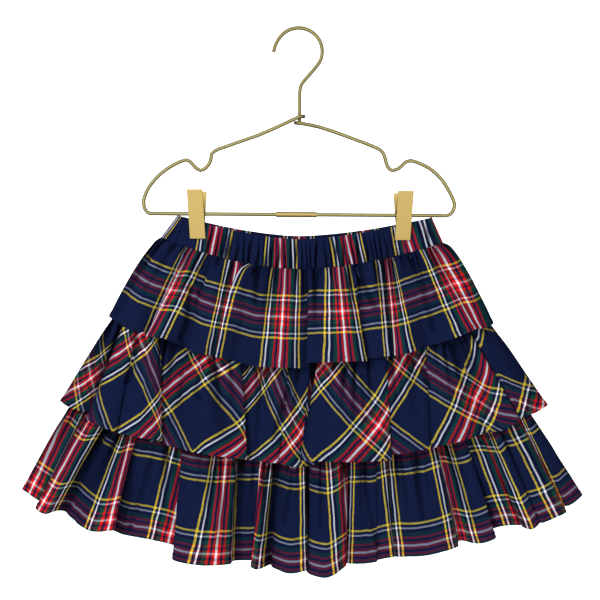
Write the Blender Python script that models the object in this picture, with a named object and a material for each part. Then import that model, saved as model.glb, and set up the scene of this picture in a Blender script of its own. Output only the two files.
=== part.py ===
"""A child's tiered ruffle skirt in tartan cotton, held by a two-clip wire hanger.

Metres, +Z up. The skirt's front faces -Y. The origin is the inside top of the hanger's hook,
where a rail carries it. The tables below are in millimetres.

Each tier is a closed ring of cloth. A fold table gives the ring's folds from side to side,
each fold as a panel with a left edge, a middle and a right edge, then the dip before the next.
"""
import math
from collections import namedtuple

import bmesh
import bpy
from mathutils import Vector

for leftover in list(bpy.data.objects):
    bpy.data.objects.remove(leftover, do_unlink=True)

MM = 0.001

# Driving dimensions, mm
WALL = 1.0                   # cloth with its turned seams
SEAM_GAP = 0.3               # between pieces that are sewn or clamped together
SEAM_SLACK = 0.05            # more at a side seam, where the two walls meet at an angle
WIRE_RADIUS = 1.8
BAR_RADIUS = 1.8
HOOK_RADIUS = 22.5           # centreline of the round hook
HOOK_FLARE = 1.6             # how far the hook's tip opens out of the round
CLIP_WIDTH = 15.0
CLIP_SHEET = 1.0
CLIP_AT = {"left": -98.0, "right": 100.0}
BAR_DROP = {"left": -176.2, "right": -178.2}    # the bar tips slightly under the skirt's weight

# Heights of the seam and hem lines: at the left side, at the centre and at the right side.
Line = namedtuple("Line", "left centre right bend")
BAND_TOP = Line(-178.4, -202.0, -180.6, 1.6)
BAND_TOP_BACK = Line(-178.4, -198.0, -180.6, 1.6)
WAIST_SEAM = Line(-199.0, -229.5, -204.0, 1.75)
TIER_2_SEAM = Line(-265.0, -308.5, -270.0, 2.1)
TIER_3_SEAM = Line(-347.0, -405.5, -352.0, 2.1)
TIER_1_HEM = Line(-274.0, -322.0, -281.0, 2.1)
TIER_2_HEM = Line(-355.0, -411.0, -358.0, 2.1)
TIER_3_HEM = Line(-440.0, -512.0, -445.0, 1.9)

# Widths of the same rings: the left and right edge, and how far the cloth stands off the middle plane.
Ring = namedtuple("Ring", "left right out")
WAIST = Ring(-132.5, 138.0, 6.0)
TIER_2_TOP = Ring(-171.5, 175.5, 8.0)
TIER_3_TOP = Ring(-211.0, 209.0, 9.3)

# A fold on the front: x at the seam above and at the hem, the hem's height and how far it stands out.
Fold = namedtuple("Fold", "name top_left top_right hem_left hem_right "
                          "z_left z_mid z_right out_left out_mid out_right dip")
TIER_1_FRONT = (
    Fold("side_l", -132.5, -110, -182, -147, -274, -285, -292, 0, 13, 12.5, 12),
    Fold("crest_1", -106, -86, -143, -116, -293, -294, -300, 18, 22, 18, 13),
    Fold("crest_2", -81, -67, -101, -85, -307, -310, -311, 15, 19, 20, 14),
    Fold("pleat_a", -50, -44, -79, -71, -313, -313, -314, 16, 18, 16, 12),
    Fold("crest_3", -32, 4, -46, 3, -321, -322, -323, 17, 23, 15, 12.5),
    Fold("crest_4", 10, 48, 7, 62, -318, -317, -316, 20, 23, 19, 12),
    Fold("valley", 58, 74, 70, 83, -314, -313, -312, 14, 15, 14, 12),
    Fold("crest_5", 83, 94, 89, 111, -311, -309, -306, 19, 23, 19, 14),
    Fold("crest_6", 108, 125, 134, 168, -299, -293, -286, 16, 17, 13, 12.5),
    Fold("side_r", 128, 138, 171, 186, -286, -285, -281, 12, 9, 0, 0),
)
TIER_2_FRONT = (
    Fold("side_l", -171.5, -167, -229, -199, -355, -362, -365, 0, 13, 14, 14),
    Fold("crest_1", -165, -141, -196, -129, -371, -380, -391, 22, 29, 22, 17),
    Fold("crest_2", -112, -67, -129, -49, -392, -402, -407, 16, 30, 26, 17),
    Fold("crest_3", -47, -9, -45, -22, -409, -410, -412, 18, 22, 20, 16),
    Fold("crest_4", -6, 8, -18, 0, -411, -413, -413, 19, 21, 18, 18),
    Fold("crest_5", 13, 80, 3, 85, -409, -409, -407, 24, 30, 25, 16),
    Fold("crest_6", 85, 116, 90, 122, -404, -401, -398, 20, 25, 22, 19),
    Fold("crest_7", 120, 140, 127, 174, -397, -391, -384, 22, 24, 18, 16),
    Fold("crest_8", 143, 155, 178, 210, -383, -381, -371, 17, 18, 15, 14.5),
    Fold("side_r", 159, 175.5, 213, 238, -370, -365, -358, 14, 11, 0, 0),
)
TIER_3_FRONT = (
    Fold("side_l", -211, -201, -265, -249, -440, -443, -449, 0, 11, 12, 7),
    Fold("crest_1", -195, -180, -244, -227, -454, -458, -457, 21, 27, 18, 11),
    Fold("crest_2", -176, -157, -216, -173, -463, -474, -473, 15, 26, 28, 10),
    Fold("crest_3", -151, -116, -166, -116, -481, -485, -492, 11, 15, 13, 20),
    Fold("crest_4", -110, -64, -117, -67, -500, -504, -505, 27, 33, 29, 12),
    Fold("crest_5", -59, -38, -61, -43, -505, -505, -505, 13, 13, 12, 19),
    Fold("crest_6", -33, -24, -43, -32, -507, -509, -509, 26, 29, 26, 20),
    Fold("crest_7", -18, 5, -25, 3, -509, -512, -510, 23, 32, 28, 9),
    Fold("crest_8", 12, 45, 9.5, 41, -513, -515, -507, 28, 34, 25, 13),
    Fold("crest_9", 50, 72, 48, 72, -507, -507, -506, 16, 17, 15, 11),
    Fold("crest_10", 76, 82, 79, 88, -504, -502, -501, 14, 16, 16, 11),
    Fold("crest_11", 87, 124, 95, 147, -501, -497, -490, 17, 25, 21, 9),
    Fold("crest_12", 129, 151, 155, 184, -486, -487, -482, 14, 21, 20, 8),
    Fold("crest_13", 155, 163, 191, 207, -474, -472, -472, 10, 12, 11, 10),
    Fold("crest_14", 167, 181, 212, 227, -472, -472, -468, 19, 24, 22, 17),
    Fold("crest_15", 184, 198, 231, 252, -467, -463, -458, 22, 22, 16, 8),
    Fold("side_r", 202, 209, 257, 271, -455, -451, -445, 9, 7, 0, 0),
)
SIDE_SEAM_AFTER = {1: (None, "crest_6"), 2: (None, "crest_8"), 3: ("side_l", "crest_14")}

# A fold on the back, from +x to -x. Its hem follows the tier's hem line.
BackFold = namedtuple("BackFold", "name top_right top_left hem_right hem_left out dip")
TIER_1_BACK = (
    BackFold("back_1", 129, 104, 172, 138, 20, 12),
    BackFold("back_2", 97, 74, 128, 99, 23, 13),
    BackFold("back_3", 66, 38, 90, 55, 18, 12),
    BackFold("back_4", 31, 5, 46, 12, 24, 14),
    BackFold("back_5", -2, -34, 4, -43, 20, 12),
    BackFold("back_6", -40, -63, -50, -84, 23, 13),
    BackFold("back_7", -69, -93, -92, -121, 19, 13),
    BackFold("back_8", -98, -121, -129, -167, 21, 12),
)
TIER_2_BACK = (
    BackFold("back_1", 163, 141, 222, 182, 22, 15),
    BackFold("back_2", 132, 104, 172, 134, 27, 16),
    BackFold("back_3", 96, 55, 124, 66, 29, 17),
    BackFold("back_4", 47, 21, 57, 27, 22, 16),
    BackFold("back_5", 13, -32, 18, -41, 30, 17),
    BackFold("back_6", -38, -60, -48, -80, 21, 16),
    BackFold("back_7", -68, -105, -89, -137, 28, 16),
    BackFold("back_8", -113, -133, -146, -174, 22, 16),
    BackFold("back_9", -141, -163, -184, -216, 25, 15),
)
TIER_3_BACK = (
    BackFold("back_1", 202, 189, 258, 236, 18, 9),
    BackFold("back_2", 184, 169, 226, 206, 26, 11),
    BackFold("back_3", 163, 142, 197, 170, 24, 10),
    BackFold("back_4", 135, 117, 160, 137, 29, 12),
    BackFold("back_5", 110, 83, 128, 95, 19, 11),
    BackFold("back_6", 76, 52, 86, 57, 31, 12),
    BackFold("back_7", 46, 30, 50, 32, 20, 11),
    BackFold("back_8", 23, -4, 25, -6, 33, 12),
    BackFold("back_9", -11, -34, -14, -40, 24, 10),
    BackFold("back_10", -41, -66, -49, -78, 30, 12),
    BackFold("back_11", -73, -90, -87, -108, 19, 11),
    BackFold("back_12", -97, -125, -116, -149, 28, 11),
    BackFold("back_13", -131, -148, -156, -178, 20, 10),
    BackFold("back_14", -155, -176, -186, -214, 27, 11),
    BackFold("back_15", -182, -198, -222, -248, 21, 9),
)
BACK_CREST_DROP = 3.0        # a crest's hem hangs this much lower than the hem line
BACK_EDGE_SHARE = 0.78       # how far a back fold's edges stand out, as a share of its middle

TIER_1_PUFF = 0.74           # below 1 the tier swells out just under its seam
TIER_2_PUFF = 0.97
TIER_3_PUFF = 0.93
TIER_LEVELS = (0.0, 0.22, 0.48, 0.74, 1.0)
TOP_WAVE = 0.3               # the gathers left in the seam line
LONG_STEP = 13.0             # a stretch of hem longer than this takes a point between its ends

# The waistband: half flat under the clips, a little open between them.
Band = namedtuple("Band", "name top_x seam_x top_out")
WAISTBAND = (
    Band("left_fold", -117, -132.5, 0.0),
    Band("left_turn", -115.8, -131, 1.7),
    Band("left_side", -112, -124, 2.1),
    Band("clip_l_out", -106, -112, 2.3),
    Band("clip_l_in", -87, -92, 2.3),
    Band("left_sag", -62, -66, 5.2),
    Band("middle", 0, 0, 6.5),
    Band("right_sag", 64, 68, 5.2),
    Band("clip_r_in", 87, 93, 2.3),
    Band("clip_r_out", 108, 115, 2.3),
    Band("right_side", 122, 130, 2.1),
    Band("right_turn", 126.4, 136.5, 1.7),
    Band("right_fold", 127.6, 138, 0.0),
)
BAND_SEAM_RIGHT = "right_side"
GATHER_PITCH = 5.4           # elastic gathers
GATHER_DEPTH = 0.45
SIDE_FOLD_OUT = 2.0          # nearer the side folds than this the casing lies smooth
BAND_LEVELS = (0.0, 0.68, 1.0)   # the middle one lies just under the jaws' tips
UNDERSKIRT_STEPS = 22
UNDERSKIRT_EASE = 13.0       # the carrier is this much narrower than a tier at each side
UNDERSKIRT_TURN = 1.8        # radius of its side folds
CHORD_EASE = 0.3             # room for the straight facets of the tier outside it

Finish = namedtuple("Finish", "colour roughness metallic")
TARTAN = Finish((0.012, 0.018, 0.055), 0.85, 0.0)
UNDERSKIRT_COTTON = Finish((0.02, 0.025, 0.06), 0.9, 0.0)
SATIN_GOLD = Finish((0.58, 0.47, 0.22), 0.34, 1.0)


# ---------------------------------------------------------------- shared modelling functions

def finish_object(mesh, name, finish):
    """Wrap a mesh in an object that carries its own Principled material."""
    material = bpy.data.materials.new(name + "_finish")
    material.use_nodes = True
    shader = material.node_tree.nodes["Principled BSDF"]
    shader.inputs["Base Color"].default_value = (*finish.colour, 1.0)
    shader.inputs["Roughness"].default_value = finish.roughness
    shader.inputs["Metallic"].default_value = finish.metallic
    mesh.materials.append(material)
    made = bpy.data.objects.new(name, mesh)
    bpy.context.scene.collection.objects.link(made)
    return made


def spline_point(before, start, end, after, share):
    """A point on the smooth curve between start and end, past which it runs on to its neighbours."""
    reach = (end - start).length
    in_run = (start - before).length + reach
    out_run = (after - end).length + reach
    leave = (end - before) * (reach / in_run) if in_run > 0 else end - start
    arrive = (after - start) * (reach / out_run) if out_run > 0 else end - start
    s2 = share * share
    s3 = s2 * share
    return ((2 * s3 - 3 * s2 + 1) * start + (s3 - 2 * s2 + share) * leave
            + (3 * s2 - 2 * s3) * end + (s3 - s2) * arrive)


def line_height(line, x, ring):
    """Height of a seam or hem line above x, low at the centre and rising to the sides."""
    if x < 0:
        side, share = line.left, x / ring.left
    else:
        side, share = line.right, x / ring.right
    return line.centre + (side - line.centre) * min(abs(share), 1.0) ** line.bend


def ring_out(ring, x):
    """How far a flattened ring stands off the middle plane at x."""
    share = abs(x / (ring.left if x < 0 else ring.right))
    return ring.out * math.sqrt(max(0.0, 1.0 - min(share, 1.0) ** 4))


def inner_ring(outer, thickness):
    """The same closed ring moved inwards, level with the ground, by the wall's thickness."""
    count = len(outer)
    inner = []
    for index, point in enumerate(outer):
        leaving = outer[(index + 1) % count] - point
        arriving = point - outer[index - 1]
        along = leaving.normalized() + arriving.normalized()
        inward = Vector((-along.y, along.x, 0.0)).normalized()
        inner.append(point + inward * thickness)
    return inner


def cloth_panel(name, levels, first, last, finish):
    """Solid wall between two places on a ring. levels holds (outer, inner) rings, top to hem."""
    count = len(levels[0][0])
    places = [index % count for index in range(first, last + 1)]
    mesh_maker = bmesh.new()
    faces_of = []
    for rings in levels:
        row = []
        for ring in rings:
            points = [ring[place].copy() for place in places]
            for end, beside in ((0, 1), (-1, -2)):
                step = points[beside] - points[end]
                points[end] += step.normalized() * (SEAM_GAP / 2 + SEAM_SLACK)
            row.append([mesh_maker.verts.new(point * MM) for point in points])
        faces_of.append(row)
    outer = [row[0] for row in faces_of]
    inner = [row[1] for row in faces_of]
    for upper, lower in zip(range(len(levels) - 1), range(1, len(levels))):
        for side, flip in ((outer, False), (inner, True)):
            for a, b in zip(range(len(places) - 1), range(1, len(places))):
                corners = [side[upper][a], side[lower][a], side[lower][b], side[upper][b]]
                mesh_maker.faces.new(corners[::-1] if flip else corners)
        for end, flip in ((0, True), (-1, False)):
            corners = [outer[upper][end], outer[lower][end], inner[lower][end], inner[upper][end]]
            mesh_maker.faces.new(corners[::-1] if flip else corners)
    for level, flip in ((0, False), (-1, True)):
        for a, b in zip(range(len(places) - 1), range(1, len(places))):
            corners = [outer[level][a], outer[level][b], inner[level][b], inner[level][a]]
            mesh_maker.faces.new(corners[::-1] if flip else corners)
    bmesh.ops.recalc_face_normals(mesh_maker, faces=mesh_maker.faces)
    mesh = bpy.data.meshes.new(name)
    mesh_maker.to_mesh(mesh)
    mesh_maker.free()
    mesh.shade_smooth()
    mesh.set_sharp_from_angle(angle=math.radians(60))
    return finish_object(mesh, name, finish)


# ---------------------------------------------------------------- tiers

def front_controls(folds, seam_line, top_ring):
    """(name, top, hem) for each edge, middle and dip of the front folds, left to right."""
    controls = []
    for number, fold in enumerate(folds):
        last = number == len(folds) - 1
        panel = [
            ("left", fold.top_left, fold.hem_left, fold.z_left, fold.out_left, 0.0),
            ("mid", (fold.top_left + fold.top_right) / 2, (fold.hem_left + fold.hem_right) / 2,
             fold.z_mid, fold.out_mid, TOP_WAVE),
            ("right", fold.top_right, fold.hem_right, fold.z_right, fold.out_right, 0.0),
        ]
        if not last:
            after = folds[number + 1]
            panel.append(("dip", (fold.top_right + after.top_left) / 2,
                          (fold.hem_right + after.hem_left) / 2,
                          (fold.z_right + after.z_left) / 2, fold.dip, -TOP_WAVE))
        for part, top_x, hem_x, hem_z, out, wave in panel:
            top_out = ring_out(top_ring, top_x)
            if 0 < number and not last:
                top_out += wave
            top = Vector((top_x, -top_out, line_height(seam_line, top_x, top_ring)))
            hem = Vector((hem_x, -out, hem_z))
            controls.append((fold.name + "." + part, top, hem))
    return controls


def back_controls(folds, seam_line, top_ring, hem_line, hem_ring):
    """The same for the back folds, right to left, between the two side edges."""
    controls = []
    for number, fold in enumerate(folds):
        edge_out = fold.out * BACK_EDGE_SHARE
        panel = [
            ("right", fold.top_right, fold.hem_right, edge_out, 0.5 * BACK_CREST_DROP, 0.0),
            ("mid", (fold.top_left + fold.top_right) / 2, (fold.hem_left + fold.hem_right) / 2,
             fold.out, BACK_CREST_DROP, TOP_WAVE),
            ("left", fold.top_left, fold.hem_left, edge_out, 0.5 * BACK_CREST_DROP, 0.0),
        ]
        if number < len(folds) - 1:
            after = folds[number + 1]
            panel.append(("dip", (fold.top_left + after.top_right) / 2,
                          (fold.hem_left + after.hem_right) / 2, fold.dip, 0.0, -TOP_WAVE))
        for part, top_x, hem_x, out, drop, wave in panel:
            top_out = ring_out(top_ring, top_x) + wave
            top = Vector((top_x, top_out, line_height(seam_line, top_x, top_ring)))
            hem = Vector((hem_x, out, line_height(hem_line, hem_x, hem_ring) - drop))
            controls.append((fold.name + "." + part, top, hem))
    return controls


def tier(number, front, back, seam_line, top_ring, hem_line, puff):
    """Front and back panel of one tier, cut from one closed ring of folds."""
    hem_ring = Ring(front[0].hem_left, front[-1].hem_right, 0.0)
    controls = front_controls(front, seam_line, top_ring)
    controls += back_controls(back, seam_line, top_ring, hem_line, hem_ring)
    count = len(controls)
    columns = []
    column_of = {}
    for index, (name, top, hem) in enumerate(controls):
        column_of[name] = len(columns)
        ends = [controls[(index + step) % count] for step in (-1, 0, 1, 2)]
        tops = [end[1] for end in ends]
        hems = [end[2] for end in ends]
        long_stretch = (hems[2] - hems[1]).length > LONG_STEP
        for share in ((0.0, 0.5) if long_stretch else (0.0,)):
            columns.append((spline_point(*tops, share), spline_point(*hems, share)))
    levels = []
    for down in TIER_LEVELS:
        swell = down ** puff
        outer = []
        for top, hem in columns:
            point = top.lerp(hem, down)
            point.x = top.x + (hem.x - top.x) * swell
            point.y = top.y + (hem.y - top.y) * swell
            outer.append(point)
        levels.append((outer, inner_ring(outer, WALL)))
    left_fold, right_fold = SIDE_SEAM_AFTER[number]
    left_seam = column_of[left_fold + ".dip"] if left_fold else 0
    right_seam = column_of[right_fold + ".right"]
    cloth_panel("tier%d_front" % number, levels, left_seam, right_seam, TARTAN)
    cloth_panel("tier%d_back" % number, levels, right_seam, left_seam + len(columns), TARTAN)


# ---------------------------------------------------------------- underskirt and waistband

def flat_ring(ring, line, inset):
    """A flattened ring with round side folds, on a seam line and inside the cloth that it carries."""
    left = ring.left + inset + UNDERSKIRT_EASE
    right = ring.right - inset - UNDERSKIRT_EASE
    points = []
    for step in range(2 * UNDERSKIRT_STEPS):
        x = (left + right) / 2 - (right - left) / 2 * math.cos(math.pi * step / UNDERSKIRT_STEPS)
        from_side = min(x - left, right - x)
        fold = math.sqrt(max(0.0, 2 * UNDERSKIRT_TURN * from_side))
        depth = min(ring_out(ring, x) - inset - CHORD_EASE, fold)
        y = -depth if step <= UNDERSKIRT_STEPS else depth
        points.append(Vector((x, y, line_height(line, x, ring))))
    return points


def underskirt():
    """Plain carrier from the waist seam to the top of tier 3. Tiers 2 and 3 are sewn onto it."""
    inset = WALL + SEAM_GAP + TOP_WAVE
    levels = []
    stations = ((WAIST, WAIST_SEAM), (TIER_2_TOP, TIER_2_SEAM), (TIER_3_TOP, TIER_3_SEAM))
    rings = [flat_ring(ring, line, inset) for ring, line in stations]
    for above, below in zip(rings, rings[1:]):
        middle = [top.lerp(bottom, 0.5) for top, bottom in zip(above, below)]
        levels += [above, middle]
    levels.append(rings[-1])
    walls = [(outer, inner_ring(outer, WALL)) for outer in levels]
    half = UNDERSKIRT_STEPS
    cloth_panel("underskirt_front", walls, 0, half, UNDERSKIRT_COTTON)
    cloth_panel("underskirt_back", walls, half, 2 * half, UNDERSKIRT_COTTON)


def waistband():
    """Elastic casing: a flattened ring with gathers, pinched where the clips hold it."""
    rows = []
    for side in (-1, 1):
        bands = WAISTBAND if side < 0 else WAISTBAND[::-1]
        for here, after in zip(bands, bands[1:]):
            steps = max(1, round(abs(after.seam_x - here.seam_x) / GATHER_PITCH * 2))
            for step in range(steps):
                share = step / steps
                top_x = here.top_x + (after.top_x - here.top_x) * share
                seam_x = here.seam_x + (after.seam_x - here.seam_x) * share
                out = here.top_out + (after.top_out - here.top_out) * share
                rows.append((side, top_x, seam_x, out, here.name if step == 0 else ""))
    clip_flat = [abs(x) for x in CLIP_AT.values()]
    levels = []
    for down in BAND_LEVELS:
        outer = []
        for number, (side, top_x, seam_x, top_out, name) in enumerate(rows):
            top_line = BAND_TOP if side < 0 else BAND_TOP_BACK
            top_ring = Ring(WAISTBAND[0].top_x, WAISTBAND[-1].top_x, 0.0)
            top_z = line_height(top_line, top_x, top_ring)
            seam_z = line_height(WAIST_SEAM, seam_x, WAIST) + SEAM_GAP
            seam_out = ring_out(WAIST, seam_x)
            x = top_x + (seam_x - top_x) * down
            out = top_out + (seam_out - top_out) * down
            clipped = min(abs(abs(top_x) - at) for at in clip_flat) < CLIP_WIDTH * 0.9
            if clipped and down < 1.0:
                out = top_out
            elif top_out > SIDE_FOLD_OUT:
                out += GATHER_DEPTH if number % 2 else -GATHER_DEPTH
            outer.append(Vector((x, side * out, top_z + (seam_z - top_z) * down)))
        levels.append((outer, inner_ring(outer, WALL)))
    seam = next(number for number, row in enumerate(rows) if row[0] < 0 and row[4] == BAND_SEAM_RIGHT)
    cloth_panel("waistband_front", levels, 0, seam, TARTAN)
    cloth_panel("waistband_back", levels, seam, len(rows), TARTAN)


# ---------------------------------------------------------------- hanger

def wire(name, points, radius):
    """Round wire along a smooth curve through its points, in the hanger's plane or coiled."""
    route = [points[0]]
    for index in range(len(points) - 1):
        before = points[max(index - 1, 0)]
        after = points[min(index + 2, len(points) - 1)]
        for share in (0.5, 1.0):
            route.append(spline_point(before, points[index], points[index + 1], after, share))
    curve = bpy.data.curves.new(name, "CURVE")
    curve.dimensions = "3D"
    curve.bevel_depth = radius * MM
    curve.bevel_resolution = 3
    curve.use_fill_caps = True
    spline = curve.splines.new("POLY")
    spline.points.add(len(route) - 1)
    for spot, place in zip(spline.points, route):
        spot.co = (*(place * MM), 1.0)
    return finish_object(curve, name, SATIN_GOLD)


def flat(*pairs):
    """Points in the hanger's own plane."""
    return [Vector((x, 0.0, z)) for x, z in pairs]


STEM_X = 0.4                 # the hook's stem, where both arms are wound round it
KNOT_TOP = -82.6
KNOT_TURN = 3.9              # height of one turn of wire
SECOND_TURN_DROP = 5.7       # the right arm is wound on under the left one
COIL_STEPS = 8


def coil(start_turn, end_turn, top):
    """Turns of wire round the stem, at 0 on the +X side, growing towards the back."""
    radius = 2 * WIRE_RADIUS + 1.5 * SEAM_GAP
    steps = round(abs(end_turn - start_turn) * COIL_STEPS)
    points = []
    for step in range(steps + 1):
        turn = start_turn + (end_turn - start_turn) * step / steps
        angle = 2 * math.pi * turn
        drop = KNOT_TURN * abs(turn - start_turn)
        points.append(Vector((STEM_X + radius * math.cos(angle), radius * math.sin(angle), top - drop)))
    return points


def hanger():
    """Hook with its stem, and two shoulder arms that are wound round the stem and end at the bar."""
    centre = Vector((-0.4, 0.0, WIRE_RADIUS - HOOK_RADIUS))
    bow = []
    for degrees in range(181, -39, -15):
        angle = math.radians(degrees)
        radius = HOOK_RADIUS + HOOK_FLARE * (max(0.0, degrees - 140) / 40) ** 2
        bow.append(centre + radius * Vector((math.cos(angle), 0.0, math.sin(angle))))
    stem = flat((7.6, -45.7), (2.9, -51.2), (0.9, -56.6), (STEM_X, -64.6), (STEM_X, -78), (STEM_X, -91.2))
    wire("hook", bow + stem, WIRE_RADIUS)

    left_arm = flat((-18, -91.8), (-39.7, -101.3), (-77.2, -114.4), (-83.8, -118.8), (-84.8, -125.5),
                    (-89.2, -132.1), (-94.7, -134.8), (-100.3, -131), (-104.7, -126.2), (-109.1, -124.8),
                    (-119, -128.8), (-132.2, -137.5), (-143.2, -149.7), (-148.2, -160), (-149, -166.4),
                    (-147.9, -171.6), (-145.4, -174.8), (-142.6, BAR_DROP["left"] + 0.1),
                    (-140.4, BAR_DROP["left"]))
    left_turns = coil(0.125, -0.25, KNOT_TOP)
    wire("arm_left", left_turns + left_arm, WIRE_RADIUS)

    right_arm = flat((20, -93.4), (45, -102), (74.6, -113.4), (80.2, -117.8), (82.4, -123.3),
                     (84.6, -131), (89, -134.8), (95.7, -132.8), (101.1, -127.6), (106.6, -125.5),
                     (114.3, -127.6), (125.4, -133.2), (136.3, -143.1), (144.4, -156), (148.9, -166.6),
                     (147.8, -172.8), (144.8, -176.8), (141, BAR_DROP["right"] + 0.1),
                     (138.4, BAR_DROP["right"]))
    right_turns = coil(0.25, 0.75, KNOT_TOP - SECOND_TURN_DROP)
    wire("arm_right", right_turns + right_arm, WIRE_RADIUS)


def bar_height(x):
    """Height of the clip bar's centreline."""
    share = (x + 140.0) / 278.0
    return BAR_DROP["left"] + (BAR_DROP["right"] - BAR_DROP["left"]) * share


def tube(name, x_from, x_to, inner, outer):
    """A sleeve on the clip bar, open at both ends, or a plain rod where inner is 0."""
    maker = bmesh.new()
    sides = 16
    rings = []
    for x, radius in ((x_from, outer), (x_to, outer), (x_to, inner), (x_from, inner)):
        if radius == 0:
            continue
        z = bar_height(x)
        ring = []
        for side in range(sides):
            angle = 2 * math.pi * side / sides
            spot = Vector((x, radius * math.cos(angle), z + radius * math.sin(angle)))
            ring.append(maker.verts.new(spot * MM))
        rings.append(ring)
    pairs = list(zip(rings, rings[1:] + rings[:1])) if inner else [(rings[0], rings[1])]
    for one, two in pairs:
        for side in range(sides):
            after = (side + 1) % sides
            maker.faces.new((one[side], two[side], two[after], one[after]))
    if not inner:
        maker.faces.new(rings[0])
        maker.faces.new(rings[1][::-1])
    bmesh.ops.recalc_face_normals(maker, faces=maker.faces)
    mesh = bpy.data.meshes.new(name)
    maker.to_mesh(mesh)
    maker.free()
    mesh.shade_smooth()
    mesh.set_sharp_from_angle(angle=math.radians(40))
    return finish_object(mesh, name, SATIN_GOLD)


# ---------------------------------------------------------------- clips

JAW_TOP = 22.4               # heights from the bar's centreline
JAW_TIP = -24.0
HANDLE_OUT = 11.0            # the jaw's outer face at its top and at its tip
TIP_OUT = WAISTBAND[3].top_out + SEAM_GAP + CLIP_SHEET
JAW_LEAN = {"left": -0.045, "right": 0.055}     # each front jaw leans out at its top, its back jaw in
EAR_RADIUS = 4.4
EAR_HOLE = BAR_RADIUS + SEAM_GAP
EAR_IN = {"front": CLIP_WIDTH / 2 - SEAM_GAP, "back": CLIP_WIDTH / 2 - CLIP_SHEET - 2 * SEAM_GAP}
SPRING_OUT = 3.3
EDGE_ROUND = 0.28


def plate_out(height):
    """How far a jaw's outer face is from the hanger's plane, at a height from the bar."""
    return TIP_OUT + (HANDLE_OUT - TIP_OUT) * (height - JAW_TIP) / (JAW_TOP - JAW_TIP)


def extrude_outline(name, outline, x_from, x_to, lean=0.0, level=0.0):
    """A closed solid with the given (y, z) outline between two x places, leaning about a level."""
    maker = bmesh.new()
    near = [maker.verts.new(Vector((x_from + lean * (z - level), y, z)) * MM) for y, z in outline]
    far = [maker.verts.new(Vector((x_to + lean * (z - level), y, z)) * MM) for y, z in outline]
    maker.faces.new(near)
    maker.faces.new(far[::-1])
    for index in range(len(outline)):
        after = (index + 1) % len(outline)
        maker.faces.new((near[index], near[after], far[after], far[index]))
    bmesh.ops.recalc_face_normals(maker, faces=maker.faces)
    return maker


def to_helper(maker, name):
    """A cutter or joined shape that only feeds a Boolean."""
    mesh = bpy.data.meshes.new(name)
    maker.to_mesh(mesh)
    maker.free()
    helper = bpy.data.objects.new(name, mesh)
    bpy.context.scene.collection.objects.link(helper)
    helper.hide_render = True
    helper.display_type = "WIRE"
    return helper


def jaw(side, face):
    """One pressed jaw: a flat plate with two ears that the bar runs through."""
    x = CLIP_AT[side]
    z = bar_height(x)
    out = -1 if face == "front" else 1
    outer = [(HANDLE_OUT, JAW_TOP), (TIP_OUT, JAW_TIP)]
    inner = [(y - CLIP_SHEET, height) for y, height in outer[::-1]]
    outline = [(out * y, z + height) for y, height in outer + inner]
    half = CLIP_WIDTH / 2
    lean = JAW_LEAN[side] * (1 if face == "front" else -1)
    plate = extrude_outline("plate", outline, x - half, x + half, lean, z)
    long_edges = [edge for edge in plate.edges if edge.calc_length() > 2 * CLIP_SHEET * MM]
    sharp = [edge for edge in long_edges if edge.calc_face_angle() > math.radians(60)]
    bmesh.ops.bevel(plate, geom=sharp, offset=EDGE_ROUND * MM, segments=2, affect="EDGES",
                    profile=0.5, clamp_overlap=True)
    mesh = bpy.data.meshes.new("clip_%s_%s" % (side, face))
    plate.to_mesh(mesh)
    plate.free()

    ears = bmesh.new()
    ear_in = EAR_IN[face]
    for left_edge in (x - ear_in, x + ear_in - CLIP_SHEET):
        ear = [(out * (plate_out(height) - CLIP_SHEET / 2), z + height) for height in (EAR_RADIUS, -EAR_RADIUS)]
        for step in range(9):
            angle = math.radians(-90 - 22.5 * step)
            ear.append((out * EAR_RADIUS * math.cos(angle), z + EAR_RADIUS * math.sin(angle)))
        one = extrude_outline("ear", ear, left_edge, left_edge + CLIP_SHEET)
        spare = bpy.data.meshes.new("ear")
        one.to_mesh(spare)
        one.free()
        ears.from_mesh(spare)
    ear_pair = to_helper(ears, "ears_%s_%s" % (side, face))

    made = finish_object(mesh, mesh.name, SATIN_GOLD)
    join = made.modifiers.new("ears", "BOOLEAN")
    join.operation = "UNION"
    join.solver = "EXACT"
    join.object = ear_pair
    drill = made.modifiers.new("bar_hole", "BOOLEAN")
    drill.operation = "DIFFERENCE"
    drill.solver = "EXACT"
    drill.object = BAR_HOLES[side]
    mesh.shade_smooth()
    mesh.set_sharp_from_angle(angle=math.radians(50))
    return made


def bar_hole(side):
    """Cutter for the ear holes of one clip."""
    x = CLIP_AT[side]
    z = bar_height(x)
    round_hole = []
    for step in range(16):
        angle = 2 * math.pi * step / 16
        round_hole.append((EAR_HOLE * math.cos(angle), z + EAR_HOLE * math.sin(angle)))
    return to_helper(extrude_outline("hole", round_hole, x - CLIP_WIDTH, x + CLIP_WIDTH), "hole_" + side)


tier(1, TIER_1_FRONT, TIER_1_BACK, WAIST_SEAM, WAIST, TIER_1_HEM, TIER_1_PUFF)
tier(2, TIER_2_FRONT, TIER_2_BACK, TIER_2_SEAM, TIER_2_TOP, TIER_2_HEM, TIER_2_PUFF)
tier(3, TIER_3_FRONT, TIER_3_BACK, TIER_3_SEAM, TIER_3_TOP, TIER_3_HEM, TIER_3_PUFF)
underskirt()
waistband()
hanger()
tube("clip_bar", -140.0, 138.0, 0.0, BAR_RADIUS)
tube("bar_ferrule", -22.0, 17.0, BAR_RADIUS + SEAM_GAP, BAR_RADIUS + SEAM_GAP + 0.5)
BAR_HOLES = {side: bar_hole(side) for side in CLIP_AT}
for side, place in CLIP_AT.items():
    jaw(side, "front")
    jaw(side, "back")
    inner_reach = EAR_IN["back"] - CLIP_SHEET - SEAM_GAP
    tube("spring_" + side, place - inner_reach, place + inner_reach, EAR_HOLE, SPRING_OUT)
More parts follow.
